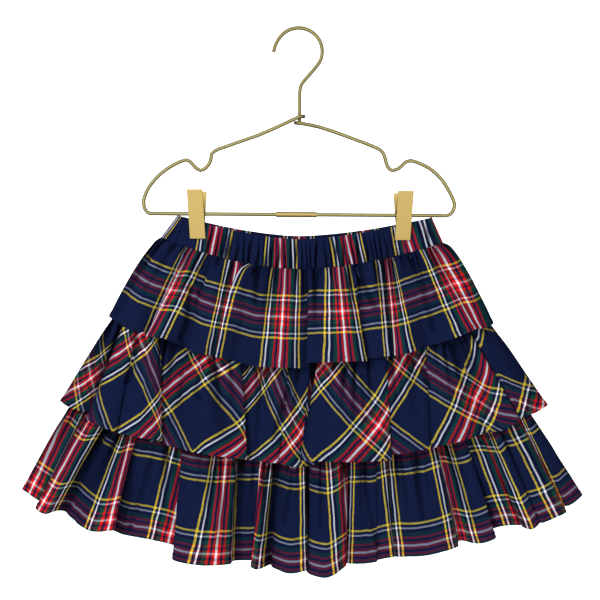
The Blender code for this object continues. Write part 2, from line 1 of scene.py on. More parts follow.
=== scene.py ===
import math
from bisect import bisect_left
from collections import namedtuple

import bmesh
import bpy
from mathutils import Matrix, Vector


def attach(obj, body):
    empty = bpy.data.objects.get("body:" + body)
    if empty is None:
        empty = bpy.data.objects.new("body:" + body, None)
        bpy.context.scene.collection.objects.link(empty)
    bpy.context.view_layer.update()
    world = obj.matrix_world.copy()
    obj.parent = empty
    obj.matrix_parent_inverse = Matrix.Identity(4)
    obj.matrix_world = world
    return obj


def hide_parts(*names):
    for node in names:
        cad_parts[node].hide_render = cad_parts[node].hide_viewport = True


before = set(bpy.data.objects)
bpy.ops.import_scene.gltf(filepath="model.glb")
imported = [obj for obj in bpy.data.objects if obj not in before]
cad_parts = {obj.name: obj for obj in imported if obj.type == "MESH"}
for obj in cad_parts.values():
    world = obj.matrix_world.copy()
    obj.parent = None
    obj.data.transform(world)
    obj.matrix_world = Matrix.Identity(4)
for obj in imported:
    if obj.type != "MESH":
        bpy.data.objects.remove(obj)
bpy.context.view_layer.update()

MM = 0.001


# ==== Studio ====
# A plain pale floor that curves up into the wall behind, and a white surround that is dim at the
# sides. A key and a fill lamp light the cloth, and a broad reflector lights the metal. The camera
# stands level with the top ruffle and looks straight on.

CAMERA_AT = (0.0008, -0.9, -0.259)
SENSOR, LENS = 36.0, 56.34  # mm
BESIDE, IN_FRONT = 0.1, -0.9  # where the surround is dim and where bright
DIM, BRIGHT = 0.08, 0.44
FLOOR_Z, WALL_TOP, HALF_WIDTH = -0.8, 3.4, 4.0
WALL_Y = 2.4  # far enough back for the skirt to be seen from behind
COVE, COVE_STEPS = 0.8, 12  # the curve between the floor and the wall


def table(columns, *rows):
    """The rows of a table, each with its columns named."""
    return [columns(*row) for row in rows]


def put(name, data):
    """Put a new object into the scene."""
    made = bpy.data.objects.new(name, data)
    bpy.context.scene.collection.objects.link(made)
    return made


def mesh_from(maker, name):
    """The mesh that a maker has built."""
    mesh = bpy.data.meshes.new(name)
    maker.to_mesh(mesh)
    maker.free()
    return mesh


bpy.context.scene.view_settings.view_transform = "Standard"
camera = put("camera", bpy.data.cameras.new("camera"))
camera.data.sensor_width = SENSOR
camera.data.lens = LENS
camera.location = CAMERA_AT
camera.rotation_euler = (math.radians(90), 0, 0)
bpy.context.scene.camera = camera

Lamp = namedtuple("Lamp", "name place target size power shines_on")
for lamp in table(
    Lamp,
    ("key", (-1.0, -1.3, 0.8), (0, 0, -0.3), 0.7, 36, "cloth"),
    ("fill", (1.1, -1.3, 0.1), (0, 0, -0.3), 1.4, 6, "cloth"),
    ("reflector", (-0.2, -1.6, 0.2), (0, 0, -0.15), 2.0, 12.5, "metal"),
):
    light = bpy.data.lights.new(lamp.name, "AREA")
    light.size = lamp.size
    light.energy = lamp.power
    holder = put(lamp.name, light)
    holder.location = lamp.place
    holder.visible_camera = False
    holder.visible_glossy = lamp.shines_on == "metal"
    holder.visible_diffuse = lamp.shines_on == "cloth"
    aim = Vector(lamp.target) - Vector(lamp.place)
    holder.rotation_euler = aim.to_track_quat("-Z", "Y").to_euler()

sweep = bmesh.new()
profile = [(-HALF_WIDTH, FLOOR_Z), (WALL_Y - COVE, FLOOR_Z)]
for step in range(1, COVE_STEPS + 1):
    angle = math.radians(90 * step / COVE_STEPS)
    profile.append((WALL_Y - COVE + COVE * math.sin(angle), FLOOR_Z + COVE - COVE * math.cos(angle)))
profile.append((WALL_Y, WALL_TOP))
near, far = [[sweep.verts.new((x, y, z)) for y, z in profile] for x in (-HALF_WIDTH, HALF_WIDTH)]
for index in range(len(profile) - 1):
    sweep.faces.new((near[index], far[index], far[index + 1], near[index + 1]))
backdrop = put("backdrop", mesh_from(sweep, "backdrop"))
backdrop.data.shade_smooth()
backdrop.visible_glossy = False  # the metal reflects the surround instead


class Reading:
    """A number or colour inside a finish. Sums and products of readings add Math nodes."""

    def __init__(self, wiring, node, output=0):
        self.wiring = wiring
        self.node = node
        self.socket = node.outputs[output]

    def also(self, output):
        """Another output of the same node."""
        return Reading(self.wiring, self.node, output)

    def _math(self, operation, first, second):
        return self.wiring.node("ShaderNodeMath", {"operation": operation}, {0: first, 1: second})

    def __add__(self, other):
        return self._math("ADD", self, other)

    def __sub__(self, other):
        return self._math("SUBTRACT", self, other)

    def __rsub__(self, other):
        return self._math("SUBTRACT", other, self)

    def __mul__(self, other):
        return self._math("MULTIPLY", self, other)

    def __truediv__(self, other):
        return self._math("DIVIDE", self, other)

    def __rtruediv__(self, other):
        return self._math("DIVIDE", other, self)

    __radd__ = __add__
    __rmul__ = __mul__


class Wiring:
    """A node tree under construction. Its nodes all come from one method."""

    def __init__(self, tree):
        self.tree = tree

    def node(self, kind, settings=None, sockets=None, output=0):
        """Add a node: its settings first, then the values or readings of its sockets."""
        made = self.tree.nodes.new(kind)
        for name, value in (settings or {}).items():
            if name == "stops":
                ramp = made.color_ramp
                while len(ramp.elements) < len(value):
                    ramp.elements.new(1.0)
                for element, (place, colour) in zip(ramp.elements, value):
                    element.position = place
                    element.color = colour
            elif name == "interpolation":
                made.color_ramp.interpolation = value
            else:
                setattr(made, name, value)
        self.feed(made, sockets or {})
        return Reading(self, made, output) if made.outputs else None

    def feed(self, node, sockets):
        """Set or link a node's sockets."""
        for key, value in sockets.items():
            if isinstance(value, Reading):
                self.tree.links.new(value.socket, node.inputs[key])
            else:
                node.inputs[key].default_value = value


class Finish(Wiring):
    """A material, or the surround, under construction."""

    def __init__(self, name, kind="materials", shader="Principled BSDF"):
        self.material = getattr(bpy.data, kind).new(name)
        self.material.use_nodes = True
        super().__init__(self.material.node_tree)
        self.shader = self.tree.nodes[shader]

    def surface(self, **inputs):
        """Set or link the shader's own sockets; underscores stand for spaces."""
        self.feed(self.shader, {name.replace("_", " "): value for name, value in inputs.items()})
        return self.material

    def mix(self, share, first, second, blend="MIX"):
        """Mix two colours."""
        return self.node("ShaderNodeMix", {"data_type": "RGBA", "blend_type": blend},
                         {0: share, 6: first, 7: second}, output=2)

    def noise(self, place, scale, detail):
        """A cloudy value from 0 to 1."""
        return self.node("ShaderNodeTexNoise", sockets={"Vector": place, "Scale": scale, "Detail": detail},
                         output="Fac")

    def bump(self, height, strength, distance):
        """A relief for the shader's Normal."""
        return self.node("ShaderNodeBump", sockets={
            "Height": height, "Strength": strength, "Distance": distance})


surround = Finish("surround", "worlds", "Background")
ahead = surround.node("ShaderNodeSeparateXYZ", sockets={
    0: surround.node("ShaderNodeTexCoord", output="Generated")}, output="Y")
bpy.context.scene.world = surround.surface(Color=(1, 1, 1, 1), Strength=surround.node(
    "ShaderNodeMapRange", {"interpolation_type": "SMOOTHSTEP"}, {
        0: ahead, 1: BESIDE, 2: IN_FRONT, 3: DIM, 4: BRIGHT}))

# the wall glows, the more the further back it is, so that the ground of the picture is plain white
GLOW_FROM, GLOW_FULL = 0.1, 1.1  # m behind the skirt
pale = Finish("pale_paint")
where = pale.node("ShaderNodeTexCoord", output="Object")
paper = pale.mix(pale.noise(where, 1.5, 2.0) * 0.4, (0.9, 0.9, 0.9, 1), (0.94, 0.94, 0.94, 1))
behind = pale.node("ShaderNodeSeparateXYZ", sockets={0: where}, output=1)
lit = pale.node("ShaderNodeMapRange", sockets={0: behind, 1: GLOW_FROM, 2: GLOW_FULL, 3: 0.0, 4: 1.0})
glow = pale.mix(lit, (0.3, 0.3, 0.3, 1), (1.0, 1.0, 1.0, 1))
pale.surface(Base_Color=paper, Roughness=0.9, Emission_Color=glow, Emission_Strength=1.0)
backdrop.data.materials.append(pale.material)


# ==== Underskirt ====
# Two plain navy cotton panels, cut flared and sewn up the sides. They hang from the waist seam,
# and the middle and bottom ruffles are sewn onto them. They end where the bottom ruffle starts.

Line = namedtuple("Line", "left centre right bend")  # heights at the left, centre and right
Ring = namedtuple("Ring", "left right out")  # x of both side folds, and half the depth
WAIST_SEAM = Line(-199.0, -229.5, -204.0, 1.75)
TIER_2_SEAM = Line(-265.0, -308.5, -270.0, 2.1)
TIER_3_SEAM = Line(-347.0, -405.5, -352.0, 2.1)
WAIST = Ring(-132.5, 138.0, 6.0)
TIER_2_TOP = Ring(-171.5, 175.5, 8.0)
TIER_3_TOP = Ring(-211.0, 209.0, 9.3)
UNDERSKIRT_INSET = 1.6  # how far it lies inside the ruffles' rings
UNDERSKIRT_EASE = 13.0  # how much narrower it is at each side
UNDERSKIRT_TURN = 1.8  # radius of its side folds
UNDERSKIRT_GAP = 0.3
UNDERSKIRT_FOOT = 420  # its checks would be read upwards from here
STEPS, LEVELS = 90, 12  # columns of half the ring, and rows from one seam to the next
CLOTH = 0.6  # thickness of the cotton, mm
UV_UNIT = 100.0  # mm of cloth in one unit of the map


def line_height(line, x, ring):
    """Height of a seam or hem line above x, low at the centre and rising to the sides."""
    side, edge = (line.left, ring.left) if x < 0 else (line.right, ring.right)
    return line.centre + (side - line.centre) * min(abs(x / edge), 1.0) ** line.bend


def ring_out(ring, x):
    """How far a flattened ring stands off the middle plane at x."""
    share = abs(x / (ring.left if x < 0 else ring.right))
    return ring.out * math.sqrt(max(0.0, 1.0 - min(share, 1.0) ** 4))


def settle(piece):
    """Keep what the modifiers make as the piece's own mesh."""
    mesh = bpy.data.meshes.new_from_object(piece.evaluated_get(bpy.context.evaluated_depsgraph_get()))
    piece.modifiers.clear()
    mesh.name = piece.name
    piece.data = mesh


def cloth_piece(name, rows, readings, material, thickness=CLOTH, hollows=None):
    """A shell from rows of points, top to hem, with (across, up) cloth readings in mm as its UV map.
    The last argument is every point's painted shade, 0 to 1, for how deep in a gather, crease or recess it
    lies."""
    maker = bmesh.new()
    chart = maker.loops.layers.uv.new("cloth")
    # the painted shade of every point, which the finish darkens the cloth by
    depth = maker.verts.layers.float.new("hollow")
    grid = [[maker.verts.new(point * MM) for point in row] for row in rows]
    if hollows:
        for row, values in zip(grid, hollows):
            for vert, value in zip(row, values):
                vert[depth] = value
    for upper in range(len(grid) - 1):
        for left in range(len(grid[0]) - 1):
            spots = [(upper, left), (upper + 1, left), (upper + 1, left + 1), (upper, left + 1)]
            face = maker.faces.new([grid[i][j] for i, j in spots])
            for loop, (i, j) in zip(face.loops, spots):
                across, up = readings[i][j]
                loop[chart].uv = (across / UV_UNIT, up / UV_UNIT)
    piece = put(name, mesh_from(maker, name))
    piece.data.shade_smooth()
    piece.data.materials.append(material)
    if thickness:
        wall = piece.modifiers.new("wall", "SOLIDIFY")
        wall.thickness = thickness * MM
        wall.offset = -1.0
        settle(piece)
    return piece


lining = Finish("navy_cotton")
chart = lining.node("ShaderNodeUVMap", {"uv_map": "cloth"})
slub = lining.noise(chart, 60.0, 3.0)
fade = lining.noise(chart, 1.6, 2.0)
lining.surface(
    Base_Color=lining.mix(fade * 0.6 + slub * 0.3, (0.008, 0.012, 0.038, 1), (0.013, 0.019, 0.058, 1)),
    Roughness=0.9, Normal=lining.bump(slub, 0.5, 0.0003), Specular_IOR_Level=0.05)

station_rings = []
for ring, line in ((WAIST, WAIST_SEAM), (TIER_2_TOP, TIER_2_SEAM), (TIER_3_TOP, TIER_3_SEAM)):
    left = ring.left + UNDERSKIRT_INSET + UNDERSKIRT_EASE
    right = ring.right - UNDERSKIRT_INSET - UNDERSKIRT_EASE
    points = []
    for step in range(2 * STEPS + 1):
        x = (left + right) / 2 - (right - left) / 2 * math.cos(math.pi * step / STEPS)
        fold = math.sqrt(max(0.0, 2 * UNDERSKIRT_TURN * min(x - left, right - x)))
        depth = min(ring_out(ring, x) - UNDERSKIRT_INSET - UNDERSKIRT_GAP, fold)
        points.append(Vector((x, -depth if step <= STEPS else depth, line_height(line, x, ring))))
    station_rings.append(points)
levels = []
for above, below in zip(station_rings, station_rings[1:]):
    levels += [[top.lerp(bottom, step / LEVELS) for top, bottom in zip(above, below)]
               for step in range(LEVELS)]
levels.append(station_rings[-1])
for face, first, last in (("front", 0, STEPS), ("back", STEPS, 2 * STEPS)):
    rows = [row[first:last + 1] for row in levels]
    readings = [[(point.x, point.z + UNDERSKIRT_FOOT) for point in row] for row in rows]
    panel = cloth_piece("underskirt_%s_cloth" % face, rows, readings, lining.material)
    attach(panel, "root")
    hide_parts("underskirt_" + face)


# ==== Ruffles ====
# Three gathered ruffles of yarn-dyed tartan cotton with a gold thread in it. Each is a front and a
# back panel, sewn up the sides, with a narrow turned hem. The bottom and top ones are cut on the
# straight grain and the middle one on the bias. Each is gathered to about half its cut width.

REPEAT = 86.3  # one repeat of the check, the same in warp and weft
# mm from the group's middle, display colour, and how well its ends and its picks cover
Stripe = namedtuple("Stripe", "upto colour warp weft")
NAVY = (0.086, 0.118, 0.226)
DEEP_NAVY = (0.068, 0.092, 0.178)
RED = (0.82, 0.115, 0.115)
GREEN = (0.08, 0.255, 0.215)
WHITE = (0.965, 0.965, 0.985)
GOLD = (0.96, 0.82, 0.17)
GOLD_FROM, GOLD_TO = 19.2, 21.0
SETT = table(
    Stripe,
    (0.9, WHITE, 1.25, 0.96),
    (3.45, RED, 0.92, 0.63),
    (5.75, NAVY, 1.0, 1.0),
    (8.0, RED, 0.92, 0.63),
    (11.7, GREEN, 1.0, 0.8),
    (14.9, DEEP_NAVY, 1.0, 1.0),
    (16.4, WHITE, 1.25, 0.96),
    (GOLD_FROM, NAVY, 1.0, 1.0),
    (GOLD_TO, GOLD, 1.0, 1.7),
    (REPEAT / 2, NAVY, 1.0, 1.0),
)
COVER_UNIT = 4.0  # the covers are handed on as parts of this, since a ramp holds up to 1
WARP_SHARE = 0.62
WEAVE_SHARE = 0.12  # how much each crossing of the threads shows
THREAD = 0.45  # pitch of the threads
PAINTED_SHADE_STRENGTH = 0.92  # how much darker the cloth is painted, as shade, at the bottom of a gather
# the colour that the painted shade darkens the cloth towards
PAINTED_SHADE_COLOUR = (0.012, 0.018, 0.045, 1)
WORN = (0.66, 0.68, 0.74, 1)
# the gold thread's dull dashes, and the paler colour painted on its sparks as a glint
DULL_GOLD, PAINTED_GLINT_GOLD = (0.46, 0.37, 0.17, 1), (1.0, 0.93, 0.45, 1)


def tartan(name, bias=False, weft_middle=0.0):
    """The check as a finish: the readings are mm across and mm above the hem."""
    cloth = Finish(name)
    chart = cloth.node("ShaderNodeUVMap", {"uv_map": "cloth"})
    parts = cloth.node("ShaderNodeSeparateXYZ", sockets={0: chart})
    across = parts * UV_UNIT
    up = parts.also(1) * UV_UNIT
    if bias:
        warp_at = (across - up - weft_middle) * math.sqrt(0.5)
        weft_at = (across + up + weft_middle) * math.sqrt(0.5)
    else:
        warp_at = across
        weft_at = up - weft_middle

    def away(place):
        """How far a place is from the middle of the nearest group of stripes."""
        return cloth.node("ShaderNodeMath", {"operation": "PINGPONG"}, {0: place, 1: REPEAT / 2})

    def stripes(place, way):
        """Colour, and how much the thread covers, at a distance across the stripes."""
        starts = [0.0] + [stripe.upto for stripe in SETT[:-1]]
        stops = [(start / (REPEAT / 2), (*stripe.colour, getattr(stripe, way) / COVER_UNIT))
                 for start, stripe in zip(starts, SETT)]
        return cloth.node("ShaderNodeValToRGB", {"stops": stops, "interpolation": "CONSTANT"},
                          {0: away(place) / (REPEAT / 2)}, output="Color")

    def ups_and_downs(place):
        """A wave with the pitch of the threads."""
        return cloth.node("ShaderNodeMath", {"operation": "SINE"}, {0: place * (math.pi / THREAD)})

    def gold_part(place):
        """1 where the thread is the gold one."""
        return cloth.node("ShaderNodeMath", {"operation": "COMPARE"}, {
            0: away(place), 1: (GOLD_FROM + GOLD_TO) / 2, 2: (GOLD_TO - GOLD_FROM) / 2})

    warp, weft = stripes(warp_at, "warp"), stripes(weft_at, "weft")
    weave = ups_and_downs(warp_at) * ups_and_downs(weft_at)
    warp_cover = warp.also("Alpha") * (WARP_SHARE + weave * WEAVE_SHARE)
    weft_cover = weft.also("Alpha") * (1.0 - WARP_SHARE - weave * WEAVE_SHARE)
    warp_part = warp_cover / (warp_cover + weft_cover)
    seen = cloth.mix(warp_part, weft, warp)
    spark = cloth.node("ShaderNodeMapRange", sockets={
        0: cloth.noise(chart, 48.0, 1.0), 1: 0.40, 2: 0.58, 3: 0.0, 4: 1.0})
    gold = gold_part(warp_at) * warp_part + gold_part(weft_at) * (1.0 - warp_part)
    dulled = cloth.mix(gold * (1.0 - spark) * 0.4, seen, DULL_GOLD)
    # painted glint: the gold thread's sparks are painted paler, beside the real metallic shine they also get
    with_painted_glint = cloth.mix(gold * spark * 0.35, dulled, PAINTED_GLINT_GOLD)
    toned = cloth.mix(cloth.noise(chart, 3.0, 3.0) * 0.25, with_painted_glint, WORN, blend="MULTIPLY")
    # painted shade: the cloth is darkened deep in gathers, pleats, creases and recesses, and just under the
    # ruffle above
    hollow = cloth.node("ShaderNodeAttribute", {"attribute_name": "hollow"}, output="Fac")
    with_painted_shade = cloth.mix(hollow * PAINTED_SHADE_STRENGTH, toned, PAINTED_SHADE_COLOUR)
    colour = cloth.node("ShaderNodeGamma", sockets={0: with_painted_shade, 1: 2.2})  # from display colours to light
    crumple = cloth.noise(chart, 14.0, 3.0)
    return cloth.surface(
        Base_Color=colour, Roughness=0.86 - gold * spark * 0.4, Metallic=gold * spark * 0.3,
        Normal=cloth.bump(weave * 0.00003 + crumple * 0.0008, 0.5, 1.0), Specular_IOR_Level=0.05)


# A fold of a ruffle's front, mm: x of its left and right edge at the seam and at the hem, then its
# height and how far it stands out at the left edge, the middle and the right edge. Past its right
# edge the cloth dips, and tuck says how far it runs behind the fold beside it before it turns.
# The last two columns count the cloth's own width from its first check.
Fold = namedtuple("Fold", "name top hem drop out tuck dip cloth_top cloth_hem")
Back = namedtuple("Back", "top hem out tuck dip")  # a fold of the back, from right to left
Crease = namedtuple("Crease", "width depth path")  # a soft trough along (x, z) points
# Its seam, top ring and hem; how its folds swell; the controls at its side seams and the cloth's width
# past the right one; the gathers' reach; its panels' cut in m; the check's repeat; the gathers' pitch;
# how much painted shade its recesses get just below its seam; the folds that hang otherwise; and what it is
# sewn to.
Ruffle = namedtuple(
    "Ruffle", "name seam top hem puff left_seam right_seam restart reach widths tall check gather "
    "shelter bends sewn_to", defaults=(REPEAT, 6.6, 0.8, {}, "underskirt_{}_cloth"))

BOTTOM_FRONT = table(
    Fold,
    ("side_l", (-211, -200), (-265, -246), (-440, -443, -449), (0, 11, 12), 0, 6,
     (0, 6, 13), (-12, 0, 12)),
    ("crest_1", (-194, -176), (-246, -227), (-454, -458, -457), (21, 27, 18), 0, 9,
     (-6, 8, 22), (-6, 8, 22)),
    ("crest_2", (-168, -153), (-216, -173), (-463, -474, -473), (15, 26, 28), -8, 9,
     (50, 71, 93), (46, 72, 92)),
    ("crest_3", (-150, -112), (-166, -113), (-481, -485, -492), (11, 15, 13), 9, 9,
     (121, 141, 161), (128, 156, 184)),
    ("crest_4", (-109, -61), (-118, -66), (-500, -504, -505), (27, 33, 26), 0, 15,
     (206, 233, 271), (223, 247, 271)),
    ("crest_5", (-58, -37), (-60, -41), (-505, -505, -505), (13, 13, 12), 11, 8,
     (280, 292, 316), (281, 293, 309)),
    ("crest_6", (-35, -27), (-45, -36), (-507, -509, -509), (26, 29, 26), 3, 12,
     (343, 351, 358), (352, 358, 363)),
    ("crest_7", (-16, 7), (-24, 7), (-509, -512, -510), (23, 31, 28), 0, 5,
     (386, 401, 422), (384, 401, 418)),
    ("crest_8", (12, 46), (9, 43), (-513, -515, -507), (28, 34, 25), -3, 9,
     (479, 502, 524), (475, 491, 513)),
    ("crest_9", (48, 72), (46, 72), (-507, -507, -506), (16, 17, 15), 0, 12,
     (529, 551, 575), (533, 550, 568)),
    ("crest_10", (74, 79), (76, 88), (-504, -502, -501), (14, 16, 16), 4, 8,
     (580, 585, 590), (572, 579, 585)),
    ("crest_11", (84, 125), (90, 148), (-500, -497, -490), (18, 25, 21), 0, 11,
     (620, 648, 676), (614, 647, 680)),
    ("crest_12", (129, 152), (153, 184), (-486, -487, -482), (14, 21, 20), -4, 6,
     (692, 712, 734), (693, 711, 727)),
    ("crest_13", (153, 166), (190, 211), (-474, -472, -472), (10, 12, 11), 2, 8,
     (752, 759, 767), (751, 763, 776)),
    ("crest_14", (167, 182), (210, 225), (-472, -473, -467), (19, 24, 24), 0, 24,
     (782, 798, 805), (786, 796, 805)),
    ("crest_15", (185, 199), (227, 251), (-467, -463, -458), (24, 22, 16), -5, 6,
     (-23, -16, -8), (-31, -18, -7)),
    ("side_r", (203, 209), (256, 271), (-454, -450, -445), (9, 7, 0), 0, 0,
     (19, 23, 27), (27, 34, 40)),
)
BOTTOM_BACK = table(
    Back,
    ((202, 189), (258, 236), 18, 0, 9), ((184, 169), (226, 206), 26, -5, 8),
    ((163, 142), (197, 170), 24, 0, 10), ((135, 117), (160, 137), 29, 6, 9),
    ((110, 83), (128, 95), 19, -4, 9), ((76, 52), (86, 57), 31, 5, 9),
    ((46, 30), (50, 32), 20, 0, 8), ((23, -4), (25, -6), 33, 6, 9),
    ((-11, -34), (-14, -40), 24, 0, 8), ((-41, -66), (-49, -78), 30, -6, 9),
    ((-73, -90), (-87, -108), 19, 0, 8), ((-97, -125), (-116, -149), 28, 5, 9),
    ((-131, -148), (-156, -178), 20, 0, 8), ((-155, -176), (-186, -214), 27, -5, 8),
    ((-182, -198), (-222, -248), 21, 0, 9),
)
BOTTOM_CREASES = table(
    Crease,
    (2.2, 1.3, ((-79, -418), (-82, -434), (-84, -452))),
    (2.4, 1.5, ((-6, -420), (-8, -440), (-14, -466))),
    (2.4, 1.4, ((112, -408), (113, -436), (117, -462))),
    (2.0, 1.2, ((15, -425), (22, -432), (20, -470))),
    (2.5, 1.3, ((-140, -412), (-150, -445), (-160, -474))),
    (2.0, 1.0, ((62, -418), (66, -450), (74, -490))),
    (2.0, 1.0, ((142, -405), (152, -440), (166, -470))),
    (2.2, 1.2, ((-66, -425), (-72, -460), (-77, -490))),
)


def smooth_between(before, start, end, after, share):
    """A point on the smooth curve from start to end that runs on to its neighbours."""
    reach = (end - start).length
    in_run = (start - before).length + reach
    out_run = (after - end).length + reach
    leave = (end - before) * (reach / in_run) if in_run > 0 else end - start
    arrive = (after - start) * (reach / out_run) if out_run > 0 else end - start
    s2 = share * share
    s3 = s2 * share
    return ((2 * s3 - 3 * s2 + 1) * start + (s3 - 2 * s2 + share) * leave
            + (3 * s2 - 2 * s3) * end + (s3 - s2) * arrive)


BACK_CREST_DROP = 3.0  # how much lower the back's crests end than the hem line
BACK_EDGE_SHARE = 0.78  # how far a back fold's edges stand out, against its middle
TUCK_AT_SEAM = 0.15  # how much of a tuck there is at the seam
TOP_WAVE = 0.3  # how far the folds show at the seam
FRONT, BACK = -1, 1


def fold_controls(front, back, ruffle):
    """[name, seam point, hem point, cloth at seam, cloth at hem] for every control round the ring."""
    controls = []

    def add(name, face, top_x, wave, hem, cloth=(None, None)):
        seam = Vector((top_x, face * (ring_out(ruffle.top, top_x) + wave),
                       line_height(ruffle.seam, top_x, ruffle.top)))
        controls.append([name, seam, Vector(hem), *cloth])

    def between(fold, after):
        """x at the seam and at the hem, where the cloth dips between two folds."""
        return ((fold.top[1] + after.top[0]) / 2 + fold.tuck * TUCK_AT_SEAM,
                (fold.hem[1] + after.hem[0]) / 2 + fold.tuck)

    for number, fold in enumerate(front):
        crest = TOP_WAVE if 0 < number < len(front) - 1 else 0.0
        places = (("left", fold.top[0], fold.hem[0], 0.0),
                  ("mid", sum(fold.top) / 2, sum(fold.hem) / 2, crest),
                  ("right", fold.top[1], fold.hem[1], 0.0))
        for (spot, top_x, hem_x, wave), out, drop, *cloth in zip(
                places, fold.out, fold.drop, fold.cloth_top, fold.cloth_hem):
            add(fold.name + "." + spot, FRONT, top_x, wave, (hem_x, -out, drop), cloth)
        if number < len(front) - 1:
            after = front[number + 1]
            top_x, hem_x = between(fold, after)
            add(fold.name + ".dip", FRONT, top_x, -TOP_WAVE if number else 0.0,
                (hem_x, -fold.dip, (fold.drop[2] + after.drop[0]) / 2))
    hem_ring = Ring(front[0].hem[0], front[-1].hem[1], 0.0)
    for fold, after in zip(back, (*back[1:], None)):
        places = [(fold.top[0], fold.hem[0], fold.out * BACK_EDGE_SHARE, 0.5, 0.0),
                  (sum(fold.top) / 2, sum(fold.hem) / 2, fold.out, 1.0, TOP_WAVE),
                  (fold.top[1], fold.hem[1], fold.out * BACK_EDGE_SHARE, 0.5, 0.0)]
        if after:
            places.append((*between(fold, after), fold.dip, 0.0, -TOP_WAVE))
        for top_x, hem_x, out, share, wave in places:
            hem_z = line_height(ruffle.hem, hem_x, hem_ring) - share * BACK_CREST_DROP
            add("back", BACK, top_x, wave, (hem_x, out, hem_z))
    return controls


COLUMN_STEP = 1.5  # along the hem
FINE_ROWS = (0.0, 0.8, 1.8, 3.0, 4.0, 4.6, 5.1, 6.2, 8.0)  # above the hem, round its turned edge
ROW_STEP = 1.9
PATH_STEPS = 24  # of the line that a column hangs in
HEM_WIDTH = 4.8
HEM_STAND = 0.4  # the turned hem stands out by its extra layers
STITCH_UP = 4.0  # the hem stitches' height above the hem
STITCH_STAND = 0.12
SEAM_GROOVE = (0.9, 2.4)  # depth and half width of the dip along a side seam
BACK_EASE = 1.02  # the back's cloth against the length of its hem
SEAM_BEFORE, SEAM_AFTER = 18.0, 15.0  # mm of cloth from a tucked seam to its folds
RECESS_DEPTH = 10.0  # a place this far behind the folds beside it counts as fully recessed, and gets the full painted shade
NEIGHBOURS = 10  # columns to each side that a recess is judged by
CREASE_SCALE = 1.6
# an uneven wave over the cloth: its size, its turns for each mm across and up, and where it starts
Wave = namedtuple("Wave", "size across up start luck")
RIPPLE = Wave(0.5, 0.55, 0.12, 0.0, 5)
CRINKLE = Wave(0.75, 1.5, -0.22, 0.0, 8)  # small and upright, strongest under the seam
SWAY = Wave(1.6, 0.9, 0.0, 9.0, 3)  # the gathers pull the threads sideways under the seam
THREAD_ACROSS, THREAD_UP = Wave(0.35, 0.5, 0.6, 0.0, 11), Wave(0.35, 0.7, -0.3, 0.0, 13)
# where they are full or fade, mm below the seam and beside a side seam
RIPPLE_FULL, CRINKLE_FULL, CRINKLE_FADE, CRINKLE_LEFT, SWAY_FADE = 20.0, 5.0, 45.0, 0.35, 22.0
GATHER_SIDE, CRINKLE_SIDE, SWAY_SIDE, CREASE_SIDE = 4.0, 6.0, 8.0, 8.0
# painted shade in recesses: mm below the seam over which its extra near the seam fades, and how much there is
# everywhere
PAINTED_SHELTER_FADE, PAINTED_RECESS_SHADE = 32.0, 0.26
# the gathers: the ridges between them stand out under the seam, their bottoms get painted shade, and each
# differs by its own luck
GATHER_PUFF, PUFF_FADE = 2.4, 38.0
GATHER_WIDTH, WIDTH_LUCK, GATHER_WIDENS = 1.3, 0.4, 0.03
GATHER_DEPTH, DEPTH_LUCK, GATHER_START = 3.2, 1.4, 1.8
GATHER_PAINTED_SHADE, PAINTED_SHADE_LUCK = 0.75, 0.35
GATHER_SHIFT, GATHER_SLANT, LENGTH_LUCK = 0.38, 0.05, 0.7
GATHER_LUCK = ((0.3, 2.399), (1.9, 4.11), (0.8, 1.73), (2.6, 5.37))  # where it starts and how it turns


def wobble(reading, seed):
    """A smooth uneven number from -1 to 1 along the cloth."""
    return (math.sin(reading * 0.37 + seed * 1.7) + 0.7 * math.sin(reading * 0.173 + seed * 2.9)
            + 0.5 * math.sin(reading * 0.671 + seed)) / 2.2


def waver(wave, across, up):
    """How far an uneven wave pushes at a place in the cloth."""
    return wave.size * wobble(across * wave.across + up * wave.up + wave.start, wave.luck)


def wavy_thread(across, up):
    """The threads aren't quite straight: the reading that lies at a place in the cloth."""
    return across + waver(THREAD_ACROSS, across, up), up + waver(THREAD_UP, across, up)


def gather_push(run, below, pitch, waves, reach):
    """How far the gathers push the cloth out, at a run along the seam and a distance below it,
    and how much painted shade that place gets for lying deep in a gather, from 0 to 1."""
    push = GATHER_PUFF * math.exp(-below / PUFF_FADE)
    hollow = 0.0
    spot = int(run / pitch)
    for number in (spot - 1, spot, spot + 1, spot + 2):
        shift, slant, size, length = [
            math.sin((number % waves) * turn + first) for first, turn in GATHER_LUCK]
        width = GATHER_WIDTH + WIDTH_LUCK * slant + GATHER_WIDENS * below
        away = (run - (number + GATHER_SHIFT * shift) * pitch - GATHER_SLANT * below * slant) / width
        fade = math.exp(-(below / (reach * (1.0 + LENGTH_LUCK * length))) ** 1.5)
        push -= (GATHER_DEPTH + DEPTH_LUCK * size) * math.exp(-away * away) * fade
        hollow += (GATHER_PAINTED_SHADE + PAINTED_SHADE_LUCK * size) * math.exp(-2.2 * away * away) * fade
    grown = 1.0 - math.exp(-below / GATHER_START)
    return push * grown, min(1.0, hollow * (0.4 + 0.6 * grown))


def crease_depth(creases, x, z):
    """How deep the creases are at a place on the front."""
    depth = 0.0
    for crease in creases:
        best = 1e9
        for (ax, az), (bx, bz) in zip(crease.path, crease.path[1:]):
            dx, dz = bx - ax, bz - az
            share = max(0.0, min(1.0, ((x - ax) * dx + (z - az) * dz) / (dx * dx + dz * dz)))
            best = min(best, math.hypot(x - ax - share * dx, z - az - share * dz))
        near = best / crease.width
        if near < 3.5:
            depth += crease.depth * (math.exp(-near * near) - 0.4 * math.exp(-(near - 1.9) ** 2))
    return depth


def blend(one, two, share):
    """Two pairs of readings, mixed."""
    return [a + (b - a) * share for a, b in zip(one, two)]


